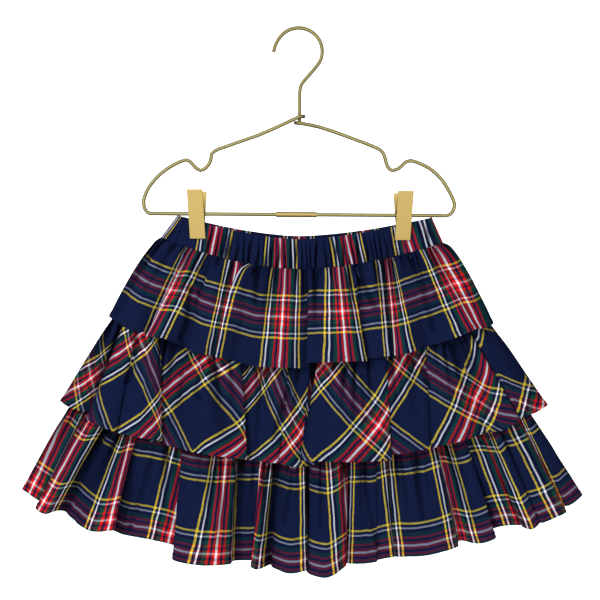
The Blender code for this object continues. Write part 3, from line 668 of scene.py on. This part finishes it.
def column_path(seam, hem, bend, puff):
    """The line that a column hangs in, and the length run along it."""
    line, run = [], [0.0]
    for step in range(PATH_STEPS + 1):
        down = step / PATH_STEPS
        line.append(Vector((seam.x + (hem.x - seam.x) * down ** bend,
                            seam.y + (hem.y - seam.y) * down ** puff, seam.z + (hem.z - seam.z) * down)))
    for one, two in zip(line, line[1:]):
        run.append(run[-1] + (two - one).length)
    return line, run


def flat_area(marks):
    """The area of a panel's own cloth, mm2, from its readings."""
    area = 0.0
    for upper, lower in zip(marks, marks[1:]):
        for (a1, u1), (a2, u2), (a3, u3), (a4, u4) in zip(upper, upper[1:], lower[1:], lower):
            area += 0.5 * abs((a3 - a1) * (u4 - u2) - (a4 - a2) * (u3 - u1))
    return area


def ruffle_panels(ruffle, front, back, creases, materials):
    """Make the front and back panel of a ruffle. Returns the paths of their hem stitches."""
    controls = fold_controls(front, back, ruffle)
    count = len(controls)
    names = [control[0] for control in controls]
    left_seam, right_seam = names.index(ruffle.left_seam), names.index(ruffle.right_seam)
    hem_run = [0.0]
    for here, after in zip(controls, controls[1:] + controls[:1]):
        hem_run.append(hem_run[-1] + (after[2] - here[2]).length)

    # the cloth's own width at the dips, and along the back, which has to meet the side's checks
    start_cloth = {right_seam: ruffle.restart}
    last_front = names.index(front[-1].name + ".right")
    run = hem_run[count] - hem_run[last_front]
    begin = front[-1].cloth_hem[2]
    wrap_end, shift, total = -1, 0.0, run
    if left_seam:  # the back's cloth comes round the left side
        wrap_end = names.index("side_l.right")
        wanted = front[0].cloth_hem[0]
        shift = round((begin + run * BACK_EASE - wanted) / ruffle.check) * ruffle.check
        total = wanted + shift - begin
    closing = None if left_seam else [begin + total] * 2
    cloth = []
    for index, (name, seam, hem, *marks) in enumerate(controls):
        if marks[0] is not None:
            cloth.append([mark + (shift if index <= wrap_end else 0.0) for mark in marks])
        elif index > last_front:
            cloth.append([begin + total * (hem_run[index] - hem_run[last_front]) / run] * 2)
        else:
            cloth.append(None)
    for index in range(count):
        if cloth[index] is not None:
            continue
        before, after = start_cloth.get(index - 1, cloth[index - 1]), cloth[(index + 1) % count]
        if index == left_seam:
            cloth[index] = [mark + SEAM_BEFORE for mark in before]
            start_cloth[left_seam] = [mark - SEAM_AFTER for mark in after]
        else:
            first, second = [(controls[(at + 1) % count][2] - controls[at][2]).length
                             for at in (index - 1, index)]
            cloth[index] = blend(before, after, first / (first + second))

    # the columns of the ring: seam point, hem point, readings, and how the column bends
    bends = [ruffle.bends.get(name, ruffle.bends.get(name.split(".")[0], ruffle.puff)) for name in names]
    columns, column_of = [], []
    for index in range(count):
        column_of.append(len(columns))
        ends = [controls[(index + step) % count] for step in (-1, 0, 1, 2)]
        here = start_cloth.get(index, cloth[index])
        after = closing if closing and index == count - 1 else cloth[(index + 1) % count]
        reach = max((ends[2][2] - ends[1][2]).length, abs(after[1] - here[1]) * 0.9)
        steps = max(2, round(reach / COLUMN_STEP))
        for share in [step / steps for step in range(steps)]:
            seam, hem = [smooth_between(*[end[part] for end in ends], share) for part in (1, 2)]
            bend = bends[index] + (bends[(index + 1) % count] - bends[index]) * share
            columns.append((seam, hem, blend(here, after, share), bend))
    total_columns = len(columns)

    # points and readings of every column, seam to hem
    paths = [column_path(seam, hem, bend, ruffle.puff) for seam, hem, pair, bend in columns]
    lengths = [run[-1] for line, run in paths]
    extra = max(4, round((sum(lengths) / len(lengths) - FINE_ROWS[-1]) / ROW_STEP))
    heights = [[*FINE_ROWS, *(FINE_ROWS[-1] + (length - FINE_ROWS[-1]) * step / extra
                              for step in range(1, extra + 1))] for length in lengths]
    rows, readings = [], []
    for row in reversed(range(len(heights[0]))):
        points, marks = [], []
        for (line, run), ups, (seam, hem, pair, bend) in zip(paths, heights, columns):
            up = ups[row]
            along = run[-1] - up
            spot = min(PATH_STEPS, max(1, bisect_left(run, along)))
            share = (along - run[spot - 1]) / (run[spot] - run[spot - 1])
            points.append(line[spot - 1].lerp(line[spot], max(0.0, min(1.0, share))))
            marks.append((pair[0] + (pair[1] - pair[0]) * (1.0 - up / run[-1]), up))
        rows.append(points)
        readings.append(marks)

    # how far along the seam each column is, how far from a side seam, and how far behind its neighbours
    seam_run, hem_at = [0.0], [0.0]
    for here, after in zip(columns, columns[1:] + columns[:1]):
        seam_run.append(seam_run[-1] + (after[0] - here[0]).length)
        hem_at.append(hem_at[-1] + (after[1] - here[1]).length)
    seams_at = [hem_at[column_of[place]] for place in (left_seam, right_seam)]
    to_seam, recesses = [], []
    for index in range(total_columns):
        apart = [abs(hem_at[index] - at) for at in seams_at]
        to_seam.append(min(min(gap, hem_at[-1] - gap) for gap in apart))
        outs = [abs(columns[(index + way) % total_columns][1].y)
                for way in range(-NEIGHBOURS, NEIGHBOURS + 1)]
        recesses.append(min(1.0, (max(outs) - outs[NEIGHBOURS]) / RECESS_DEPTH))

    # every row is a closed ring, and the gathers, creases and seams push it in and out and paint shade into
    # it
    waves = round(seam_run[-1] / ruffle.gather)
    pitch = seam_run[-1] / waves
    ring_rows, painted_shade_rows, stitch_ring = [], [], []
    for row, marks in zip(rows, readings):
        moved, hollows = [], []
        for index, (point, (across, up)) in enumerate(zip(row, marks)):
            step = row[(index + 1) % total_columns] - row[index - 1]
            normal = Vector((step.y, -step.x, 0.0)).normalized()
            below = max(0.0, lengths[index] - up)
            apart, recess = to_seam[index], recesses[index]
            gather, hollow = gather_push(seam_run[index], below, pitch, waves, ruffle.reach)
            gather *= 0.75 + 0.5 * recess
            gather *= min(1.0, apart / GATHER_SIDE)
            # painted shade: deeper in recesses, and most in the recesses just below the seam
            hollow *= 1.05 + 0.3 * recess
            hollow += recess * recess * (ruffle.shelter * math.exp(-below / PAINTED_SHELTER_FADE) + PAINTED_RECESS_SHADE)
            ripple = waver(RIPPLE, across, up) * min(1.0, below / RIPPLE_FULL)
            ripple += waver(CRINKLE, across, up) * min(1.0, below / CRINKLE_FULL) * (
                CRINKLE_LEFT + (1.0 - CRINKLE_LEFT) * math.exp(-below / CRINKLE_FADE)) * min(
                1.0, apart / CRINKLE_SIDE)
            sway = waver(SWAY, across, up) * math.exp(-below / SWAY_FADE) * min(1.0, apart / SWAY_SIDE)
            at = point.x if point.y < 0 else -point.x - 6.0  # the back's creases mirror the front's
            crease = CREASE_SCALE * crease_depth(creases, at, point.z) * min(1.0, apart / CREASE_SIDE)
            groove = SEAM_GROOVE[0] * max(0.0, 1.0 - apart / SEAM_GROOVE[1]) ** 2
            stand = HEM_STAND if up < HEM_WIDTH else 0.0
            moved.append(point + normal * (gather + ripple - crease - groove + stand)
                         + Vector((-normal.y, normal.x, 0.0)) * sway)
            # painted shade, also along the creases and in the side seams' grooves
            hollows.append(min(1.0, hollow + max(0.0, crease) * 0.08 + groove * 0.5))
            if abs(up - STITCH_UP) < 0.01:
                stitch_ring.append(moved[-1] + normal * STITCH_STAND)
        ring_rows.append(moved)
        painted_shade_rows.append(hollows)

    stitches = []
    for number, (face, first, last) in enumerate((
            ("front", left_seam, right_seam), ("back", right_seam, count + left_seam))):
        end = column_of[last % count] + (total_columns if last >= count else 0)
        places = [index % total_columns for index in range(column_of[first], end + 1)]
        at_end = closing if closing and last == count else cloth[last % count]
        panel_rows, panel_painted_shades, panel_marks = [
            [[row[place] for place in places] for row in grid] for grid in (ring_rows, painted_shade_rows, readings)]
        for values in panel_marks:  # the last column belongs to this panel
            up = values[-1][1]
            values[-1] = (at_end[0] + (at_end[1] - at_end[0]) * (1.0 - up / lengths[places[-1]]), up)
            values[:] = [wavy_thread(across, up) for across, up in values]
        piece = cloth_piece("%s_%s_cloth" % (ruffle.name, face), panel_rows, panel_marks, materials[number],
                            hollows=panel_painted_shades)
        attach(piece, "root")
        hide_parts("%s_%s" % (ruffle.name, face))
        flat_area(panel_marks) * MM * MM
        stitches.append([stitch_ring[place] for place in places])
    return stitches


BOTTOM = Ruffle(
    "tier3", TIER_3_SEAM, TIER_3_TOP, Line(-440.0, -512.0, -445.0, 1.9), puff=0.93, left_seam="side_l.dip",
    right_seam="crest_14.right", restart=(-31, -33), reach=24.0, widths=(0.826, 1.015), tall=0.115)
tartan_bottom = tartan("tartan_bottom", weft_middle=10.3)
bottom_stitches = ruffle_panels(BOTTOM, BOTTOM_FRONT, BOTTOM_BACK, BOTTOM_CREASES, (tartan_bottom,) * 2)

# The middle ruffle, on the bias: readings run along the hem and up from it, and the stripes cross
# them at 45 degrees, so a diamond's corner meets the hem every 122 mm.
MIDDLE_FRONT = table(
    Fold,
    ("side_l", (-171.5, -167), (-229, -199), (-355, -362, -365), (0, 13, 14), 0, 14,
     (-75, -66, -58), (-93, -66, -45)),
    ("crest_1a", (-165, -154), (-198, -171), (-371, -377, -382), (22, 27, 24), 0, 20,
     (-38, -26, -13), (-30, -13, 4)),
    ("crest_1b", (-152, -134), (-169, -129), (-383, -387, -391), (23, 27, 21), -13, 15,
     (-5, 8, 31), (5, 26, 61)),
    ("crest_2", (-112, -67), (-128, -49), (-395, -402, -407), (16, 30, 26), -21, 15,
     (85, 113, 141), (87, 135, 175)),
    ("crest_3", (-49, -9), (-47, -21), (-409, -410, -412), (18, 22, 20), 0, 17,
     (197, 240, 280), (249, 263, 276)),
    ("crest_4", (-7, 8), (-18, 0), (-412, -414, -416), (19, 21, 18), 18, 14,
     (286, 303, 320), (279, 290, 300)),
    ("crest_5", (13, 81), (1, 86), (-409, -409, -408), (24, 30, 25), -4, 14,
     (347, 398, 449), (351, 394, 437)),
    ("crest_6", (83, 119), (87, 122), (-404, -401, -398), (20, 25, 22), 0, 19,
     (465, 489, 513), (452, 470, 489)),
    ("crest_7", (121, 143), (126, 174), (-397, -391, -384), (22, 24, 18), 0, 15.5,
     (520, 538, 557), (493, 518, 543)),
    ("crest_8", (145, 156), (178, 209), (-383, -381, -371), (17, 18, 15), 0, 14.5,
     (560, 570, 579), (547, 563, 579)),
    ("side_r", (159, 175.5), (212, 238), (-369, -365, -359), (14, 11, 0), 0, 0,
     (-13, 0, 12), (-20, -5, 10.5)),
)
MIDDLE_BACK = table(
    Back,
    ((163, 141), (222, 182), 22, 0, 15), ((132, 104), (172, 134), 27, -5, 15),
    ((96, 55), (124, 66), 29, 5, 15), ((47, 21), (57, 27), 22, 0, 16),
    ((13, -32), (18, -41), 30, 6, 15), ((-38, -60), (-48, -80), 21, 0, 16),
    ((-68, -105), (-89, -137), 28, -5, 15), ((-113, -133), (-146, -174), 22, 0, 16),
    ((-141, -163), (-184, -216), 25, 0, 15),
)
MIDDLE_CREASES = table(
    Crease,
    (2.6, 1.6, ((-152, -296), (-155, -312), (-162, -336))),
    (2.4, 1.5, ((-93, -330), (-97, -345), (-92, -352))),
    (2.6, 1.6, ((-5, -333), (-14, -358), (-22, -388))),
    (2.2, 1.3, ((42, -324), (42, -342))),
    (2.6, 1.7, ((119, -316), (117, -326), (122, -338))),
    (2.6, 1.7, ((145, -300), (152, -318), (151, -328))),
    (2.4, 1.3, ((-110, -330), (-114, -360))),
    (2.4, 1.2, ((60, -330), (62, -372))),
)
MIDDLE = Ruffle(
    "tier2", TIER_2_SEAM, TIER_2_TOP, Line(-355.0, -411.0, -358.0, 2.1), puff=0.97, left_seam="side_l.left",
    right_seam="crest_8.right", restart=(-14, -22), reach=30.0, widths=(0.672, 0.597), tall=0.112,
    check=REPEAT * math.sqrt(2), bends={"crest_2.right": 0.25, "crest_1b.right": 0.6, "crest_1b.dip": 0.7})
tartans_middle = [tartan("tartan_middle_" + face, bias=True, weft_middle=middle)
                  for face, middle in (("front", 28.5), ("back", 0.0))]
middle_stitches = ruffle_panels(MIDDLE, MIDDLE_FRONT, MIDDLE_BACK, MIDDLE_CREASES, tartans_middle)

# The top ruffle hangs from the waist seam.
TOP_FRONT = table(
    Fold,
    ("side_l", (-133, -108), (-182, -147), (-274, -285, -292), (0, 12, 9.5), 3, 9,
     (-69, -43, -18), (-68, -43, -19)),
    ("crest_1", (-104, -85), (-143, -116), (-293, -294, -300), (20, 24, 18), 0, 13,
     (-2, 12, 25), (-1, 15, 32)),
    ("crest_2", (-81, -51), (-101, -83), (-307, -310, -311), (15, 18, 13), 6, 9.5,
     (46, 72, 101), (50, 61, 73)),
    ("pleat_a", (-48, -43), (-79, -71), (-313, -313, -314), (19, 21, 18), 0, 13.5,
     (101, 105, 110), (100, 105, 110)),
    ("crest_3", (-32, 4), (-46, 4), (-321, -322, -323), (17, 23, 15), 6, 12,
     (144, 171, 198), (142, 170, 198)),
    ("crest_4", (11, 48), (7, 63), (-318, -317, -316), (20, 23, 19), -4, 12,
     (219, 245, 281), (222, 250, 279)),
    ("valley", (58, 74), (70, 83), (-314, -313, -312), (14, 15, 14), 5, 12,
     (298, 313, 326), (307, 318, 329)),
    ("crest_5", (83, 94), (90, 111), (-311, -309, -306), (20, 23, 19), 0, 14,
     (344, 362, 379), (345, 357, 368)),
    ("crest_6", (108, 126), (134, 168), (-299, -293, -286), (16, 17, 13), 0, 12.5,
     (397, 415, 433), (397, 415, 433)),
    ("side_r", (127, 138), (170, 186), (-286, -285, -281), (12, 9, 0), 0, 0,
     (-2, 5, 12), (-2, 8, 16)),
)
TOP_BACK = table(
    Back,
    ((129, 104), (172, 138), 20, 0, 12), ((97, 74), (128, 99), 23, 4, 12),
    ((66, 38), (90, 55), 18, 0, 12), ((31, 5), (46, 12), 24, -4, 12),
    ((-2, -34), (4, -43), 20, 0, 12), ((-40, -63), (-50, -84), 23, 4, 12),
    ((-69, -93), (-92, -121), 19, 0, 13), ((-98, -121), (-129, -167), 21, 0, 12),
)
TOP_CREASES = table(
    Crease,
    (2.4, 1.6, ((-102, -248), (-105, -280), (-111, -296))),
    (2.4, 1.5, ((-40, -232), (-41, -262))),
    (2.2, 1.3, ((7, -232), (8, -252))),
    (2.6, 1.9, ((54, -229), (63, -248), (72, -265))),
    (2.4, 1.6, ((105, -217), (113, -234), (119, -255), (127, -288))),
    (2.2, 1.2, ((-128, -222), (-146, -250))),
    (2.2, 1.2, ((-72, -236), (-80, -268))),
)
TOP = Ruffle(
    "tier1", WAIST_SEAM, WAIST, Line(-274.0, -322.0, -281.0, 2.1), puff=0.74, left_seam="side_l.left",
    right_seam="crest_6.right", restart=(-3, -3), reach=20.0, widths=(0.502, 0.461), tall=0.099,
    gather=5.2, shelter=0.2, sewn_to="waistband_front_cloth", bends={
        "side_l.right": 0.9, "side_l.dip": 1.0, "crest_1": 1.0, "crest_2": 1.05, "pleat_a": 0.5,
        "crest_3": 0.95, "crest_4": 0.95, "valley": 0.9, "crest_5": 0.85, "crest_6": 1.0, "side_r.left": 0.9})
tartan_top = tartan("tartan_top", weft_middle=48.0)
top_stitches = ruffle_panels(TOP, TOP_FRONT, TOP_BACK, TOP_CREASES, (tartan_top,) * 2)


# ==== Hem stitches ====
# Each ruffle's hem is turned twice and held by one row of navy lockstitch, about 9 stitches to the
# inch. The thread lies just above the turned edge.

STITCH = {"Pitch": 2.8, "Thread radius": 0.14, "Stitch length": 2.1}  # mm
STITCH_SIDES = 6
thread = Finish("navy_thread")
where = thread.node("ShaderNodeTexCoord", output="Object")
twist = thread.noise(where, 900.0, 2.0)
thread.surface(Base_Color=thread.mix(twist, (0.012, 0.018, 0.05, 1), (0.02, 0.028, 0.07, 1)),
               Roughness=0.85, Specular_IOR_Level=0.1)


def stitch_tree():
    """Resample a path and lay one short capsule of thread on each step of it."""
    tree = bpy.data.node_groups.new("hem_stitches", "GeometryNodeTree")
    tree.interface.new_socket("Geometry", in_out="INPUT", socket_type="NodeSocketGeometry")
    for name in STITCH:
        tree.interface.new_socket(name, in_out="INPUT", socket_type="NodeSocketFloat")
    tree.interface.new_socket("Geometry", in_out="OUTPUT", socket_type="NodeSocketGeometry")
    sew = Wiring(tree)
    given = sew.node("NodeGroupInput", output="Geometry")
    path = sew.node("GeometryNodeMeshToCurve", sockets={"Mesh": given})
    steps = sew.node("GeometryNodeResampleCurve", {"mode": "LENGTH"},
                     {"Curve": path, "Length": given.also("Pitch")})
    turn = sew.node("FunctionNodeAlignRotationToVector", {"axis": "Z"},
                    {"Vector": sew.node("GeometryNodeInputTangent")})
    capsule = sew.node("GeometryNodeMeshCylinder", {"fill_type": "TRIANGLE_FAN"}, {
        "Vertices": STITCH_SIDES, "Side Segments": 2, "Radius": given.also("Thread radius"),
        "Depth": given.also("Stitch length")})
    sewn = sew.node("GeometryNodeInstanceOnPoints", sockets={
        "Points": steps, "Instance": capsule, "Rotation": turn})
    for kind in ("RealizeInstances", "SetShadeSmooth", "SetMaterial"):
        sewn = sew.node("GeometryNode" + kind, sockets={"Geometry": sewn})
    sew.feed(sewn.node, {"Material": thread.material})
    sew.node("NodeGroupOutput", sockets={"Geometry": sewn})
    return tree


STITCHING = stitch_tree()
for name, paths in (("tier3", bottom_stitches), ("tier2", middle_stitches), ("tier1", top_stitches)):
    maker = bmesh.new()
    for path in paths:
        spots = [maker.verts.new(point * MM) for point in path]
        for one, two in zip(spots, spots[1:]):
            maker.edges.new((one, two))
    row = put(name + "_hem_stitches", mesh_from(maker, name + "_hem_path"))
    sewing = row.modifiers.new("stitches", "NODES")
    sewing.node_group = STITCHING
    for socket in STITCHING.interface.items_tree:
        if socket.in_out == "INPUT" and socket.name in STITCH:
            sewing[socket.identifier] = STITCH[socket.name] * MM
    settle(row)
    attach(row, "root")


# ==== Waistband ====
# A casing of the same tartan, folded over wide elastic and gathered by it, so it ripples in narrow
# uneven pleats. It is flat where the clips hold it, and its side seam is a little to the front.

Band = namedtuple("Band", "name top_x seam_x top_out")
WAISTBAND = table(
    Band,
    ("left_fold", -117, -132.5, 0.0),
    ("left_turn", -115.8, -131, 1.7),
    ("left_side", -112, -124, 2.1),
    ("clip_l_out", -106, -112, 2.3),
    ("clip_l_in", -87, -92, 2.3),
    ("left_sag", -62, -66, 5.2),
    ("middle", 0, 0, 6.5),
    ("right_sag", 64, 68, 5.2),
    ("clip_r_in", 87, 93, 2.3),
    ("clip_r_out", 108, 115, 2.3),
    ("right_side", 122, 130, 2.1),
    ("right_turn", 126.4, 136.5, 1.7),
    ("right_fold", 127.6, 138, 0.0),
)
# the band's top edge at the front and at the back
BAND_TOP = {FRONT: Line(-178.4, -202.0, -180.6, 1.6), BACK: Line(-178.4, -198.0, -180.6, 1.6)}
BAND_SEAM_RIGHT = "right_side"
BAND_WALL = 1.7  # two layers and the elastic
BAND_TALL = 30.0
BAND_LIFT = 0.15  # how far its seam laps over the ruffle's
BAND_CROWN = 0.85  # how far the fold at its top rounds up
BAND_ROWS, BAND_STEP = 20, 0.7
BAND_PLEAT = 5.6  # half the pitch of its pleats
BAND_SIDE = 7.0  # its pleats fade out towards the side folds
# how its pleats, their size and its threads waver
PLEAT_WAVE, SIZE_WAVE = Wave(1.5, 0.45, 0.0, 0.0, 2), Wave(0.45, 0.8, 0.0, 0.0, 4)
BAND_THREAD = Wave(0.7, 0.9, 9.0, 0.0, 21)
CLIP_AT = (-98.0, 100.0)
# how far from a clip's middle its hold and the flat place end, and over what run they fade
HELD_TO, FLAT_TO, CLIP_FADE = 8.5, 9.5, 5.0
PINCH_FROM = 0.68  # under a clip the band opens out only below this share of its height
Check = namedtuple("Check", "top_x seam_x cloth")  # the cloth's own width at a place in the front
BAND_CHECKS = table(
    Check,
    (-117, -132.5, -75), (-115.4, -130.7, -70.6), (-113.3, -128.3, -66.2), (-94.5, -98, -20),
    (-79, -84, 0), (-63, -68.5, 20), (-31, -34, 66), (-18.5, -18, 86.3), (-3, -2.5, 106.4),
    (29.5, 33.5, 152.5), (44.5, 50.5, 172.6), (58, 64.5, 192.7), (88, 92, 238.8),
    (100.5, 107.5, 258.9), (116.3, 124.1, 276.5), (116.9, 124.7, 327.7), (122, 130, 332.2))
BAND_NAVY = 74.0  # the band's front is cut from the plain ground between two crosswise groups
PLAIN_SPOT = (33.0, BAND_NAVY)
SIDE_CLOTH, BACK_CLOTH = (-13.0, 1.2), (-6.3, 1.4)  # the cloth past the seam, and its gathering


def from_clip(top_x):
    """The distance from the nearest clip's middle."""
    return min(abs(top_x - at) for at in CLIP_AT)


def band_cloth(top_x, seam_x, down):
    """The cloth's own width at a place on the front of the band."""
    x = top_x + (seam_x - top_x) * down
    spots = [(a + (b - a) * down, mark) for a, b, mark in BAND_CHECKS]
    for (x1, m1), (x2, m2) in zip(spots, spots[1:]):
        if x <= x2 or x2 == spots[-1][0]:
            return m1 + (m2 - m1) * (x - x1) / (x2 - x1)


band_columns = []  # (side, top_x, seam_x, top_out)
band_seam = 0
for side in (-1, 1):
    bands = WAISTBAND if side < 0 else WAISTBAND[::-1]
    for here, after in zip(bands, bands[1:]):
        if side < 0 and here.name == BAND_SEAM_RIGHT:
            band_seam = len(band_columns)
        steps = max(2, round(abs(after.seam_x - here.seam_x) / BAND_STEP))
        for step in range(steps):
            share = step / steps
            ease = share * share * (3 - 2 * share)
            band_columns.append((side, here.top_x + (after.top_x - here.top_x) * share,
                                 here.seam_x + (after.seam_x - here.seam_x) * share,
                                 here.top_out + (after.top_out - here.top_out) * ease))
band_columns.append((BACK, WAISTBAND[0].top_x, WAISTBAND[0].seam_x, 0.0))
band_ring = Ring(WAISTBAND[0].top_x, WAISTBAND[-1].top_x, 0.0)


def band_level(down):
    """The band's outer ring at a share of the way from its top edge to the waist seam: its points,
    the directions out of it, and the painted shade for how deep in a pleat each point lies."""
    ring = []
    for side, top_x, seam_x, top_out in band_columns:
        top_z = line_height(BAND_TOP[side], top_x, band_ring)
        seam_z = line_height(WAIST_SEAM, seam_x, WAIST) - BAND_LIFT
        held = max(0.0, 1.0 - max(0.0, from_clip(top_x) - HELD_TO) / CLIP_FADE)
        swell = down * down * (3 - 2 * down)
        pinch = max(0.0, (down - PINCH_FROM) / (1.0 - PINCH_FROM))
        out = top_out + (ring_out(WAIST, seam_x) - top_out) * (swell * (1 - held) + pinch * pinch * held)
        ring.append(Vector((top_x + (seam_x - top_x) * down, side * out, top_z + (seam_z - top_z) * down)))
    moved, normals, hollows = [], [], []
    for point, before, after, (side, top_x, seam_x, top_out) in zip(
            ring, [ring[-2], *ring], [*ring[1:], ring[1]], band_columns):
        normal = Vector((after.y - before.y, before.x - after.x, 0.0)).normalized()
        free = min(1.0, max(0.0, from_clip(top_x) - FLAT_TO) / CLIP_FADE)
        edge = min(1.0, (top_x - band_ring.left) / BAND_SIDE, (band_ring.right - top_x) / BAND_SIDE)
        run = seam_x * side + 400
        beat = run * math.pi / BAND_PLEAT + waver(PLEAT_WAVE, run, 0.0) + 0.5 * math.sin(down * 3 + run * 0.3)
        size = (1.0 + waver(SIZE_WAVE, run, 0.0)) * free * max(0.0, edge)
        valley = (1.0 - abs(math.sin(beat))) ** 2.5 * (0.55 + 0.45 * math.cos(math.pi * (down - 0.75)))
        moved.append(point + normal * size * (1.0 - 4.0 * valley))
        normals.append(normal)
        # painted shade in the pleats' valleys
        hollows.append(min(1.0, size * valley))
    return moved, normals, hollows


def close_band(piece, across, deep):
    """Close a panel of the band along its lower edge and at both side seams."""
    closer = bmesh.new()
    closer.from_mesh(piece.data)
    closer.verts.ensure_lookup_table()
    spot = [[closer.verts[i * across + j] for j in range(across)] for i in range(deep)]
    chart = closer.loops.layers.uv.active
    caps = [closer.faces.new((spot[0][j], spot[0][j + 1], spot[-1][j + 1], spot[-1][j]))
            for j in range(across - 1)]
    for j in (0, across - 1):
        for i in range(deep // 2):
            corners = (spot[i][j], spot[i + 1][j], spot[deep - 2 - i][j], spot[deep - 1 - i][j])
            corners = list(dict.fromkeys(corners))  # the middle one may be a triangle
            if len(corners) >= 3:
                caps.append(closer.faces.new(corners))
    for face in caps:
        face.smooth = True
        for loop in face.loops:
            loop[chart].uv = [mark / UV_UNIT for mark in PLAIN_SPOT]
    bmesh.ops.recalc_face_normals(closer, faces=closer.faces)
    closer.to_mesh(piece.data)
    closer.free()


band_rings = [band_level(step / BAND_ROWS) for step in range(BAND_ROWS + 1)]
tartan_band = tartan("tartan_band", weft_middle=48.0)
for face, first, last, width in (
        ("front", 0, band_seam, 0.345), ("back", band_seam, len(band_columns) - 1, 0.35)):
    panel = slice(first, last + 1)
    crown_painted_shades = band_rings[0][2][panel]
    outer, inner = [], []  # (points, readings, hollows) of every row
    for step, (ring, normals, hollows) in enumerate(band_rings):
        down = step / BAND_ROWS
        marks = []
        for side, top_x, seam_x, top_out in band_columns[panel]:
            if face == "front":
                mark = band_cloth(top_x, seam_x, down) + waver(BAND_THREAD, top_x, down)
            elif side == FRONT:
                mark = SIDE_CLOTH[0] + (top_x - 122.0) * SIDE_CLOTH[1]
            else:
                mark = BACK_CLOTH[0] + (127.6 - top_x) * BACK_CLOTH[1]
            marks.append((mark, BAND_NAVY + (1 - down) * BAND_TALL))
        outer.append((ring[panel], marks, hollows[panel]))
        inner.append(([point - normal * BAND_WALL for point, normal in zip(ring[panel], normals[panel])],
                      marks, crown_painted_shades))
    crown = []
    for turn in (150, 120, 90, 60, 30):
        angle = math.radians(turn)
        lift = Vector((0, 0, BAND_CROWN * math.sin(angle)))
        crown.append(([one.lerp(two, (1 - math.cos(angle)) / 2) + lift
                       for one, two in zip(outer[0][0], inner[0][0])], outer[0][1], crown_painted_shades))
    rows, readings, hollows = zip(*inner[::-1], *crown, *outer)
    piece = cloth_piece("waistband_%s_cloth" % face, rows, readings, tartan_band, thickness=0,
                        hollows=hollows)
    close_band(piece, last - first + 1, len(rows))
    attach(piece, "root")
    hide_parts("waistband_" + face)


# ==== Hanger ====
# Gold-plated steel: a hook and two shoulder wires wound together, a thin bar with a pressed sleeve
# at its middle, and two sprung clips. The plating is satin, so it has a soft uneven shine. The clips
# and the sleeve are stamped from sheet. The wire's plate is coloured darker than the sheet's: painted shade
# for the dark sides of the thin round wires.


def plating(name, darker, paler, shine):
    """Gold plate: a cloudy colour between two tones and a fine grain."""
    gold = Finish(name)
    where = gold.node("ShaderNodeTexCoord", output="Object")
    cloudy = gold.noise(where, 60.0, 3.0)
    grain = gold.noise(where, 1400.0, 2.0)
    return gold.surface(Base_Color=gold.mix(cloudy, darker, paler), Roughness=shine + cloudy * 0.1,
                        Metallic=1.0, Normal=gold.bump(grain, 0.12, 0.0001))


# the drawn wire is coloured darker than the sheet, as painted shade
shaded_wire_gold = plating("drawn_gold_plate", (0.44, 0.37, 0.14, 1), (0.54, 0.46, 0.19, 1), 0.30)
sheet_gold = plating("satin_gold_plate", (0.66, 0.48, 0.155, 1), (0.76, 0.56, 0.20, 1), 0.36)
for names, plate in (
    (("hook", "arm_left", "arm_right", "clip_bar"), shaded_wire_gold),
    (("bar_ferrule", "clip_left_front", "clip_left_back", "clip_right_front", "clip_right_back",
      "spring_left", "spring_right"), sheet_gold),
):
    for name in names:
        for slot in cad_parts[name].material_slots:
            slot.material = plate
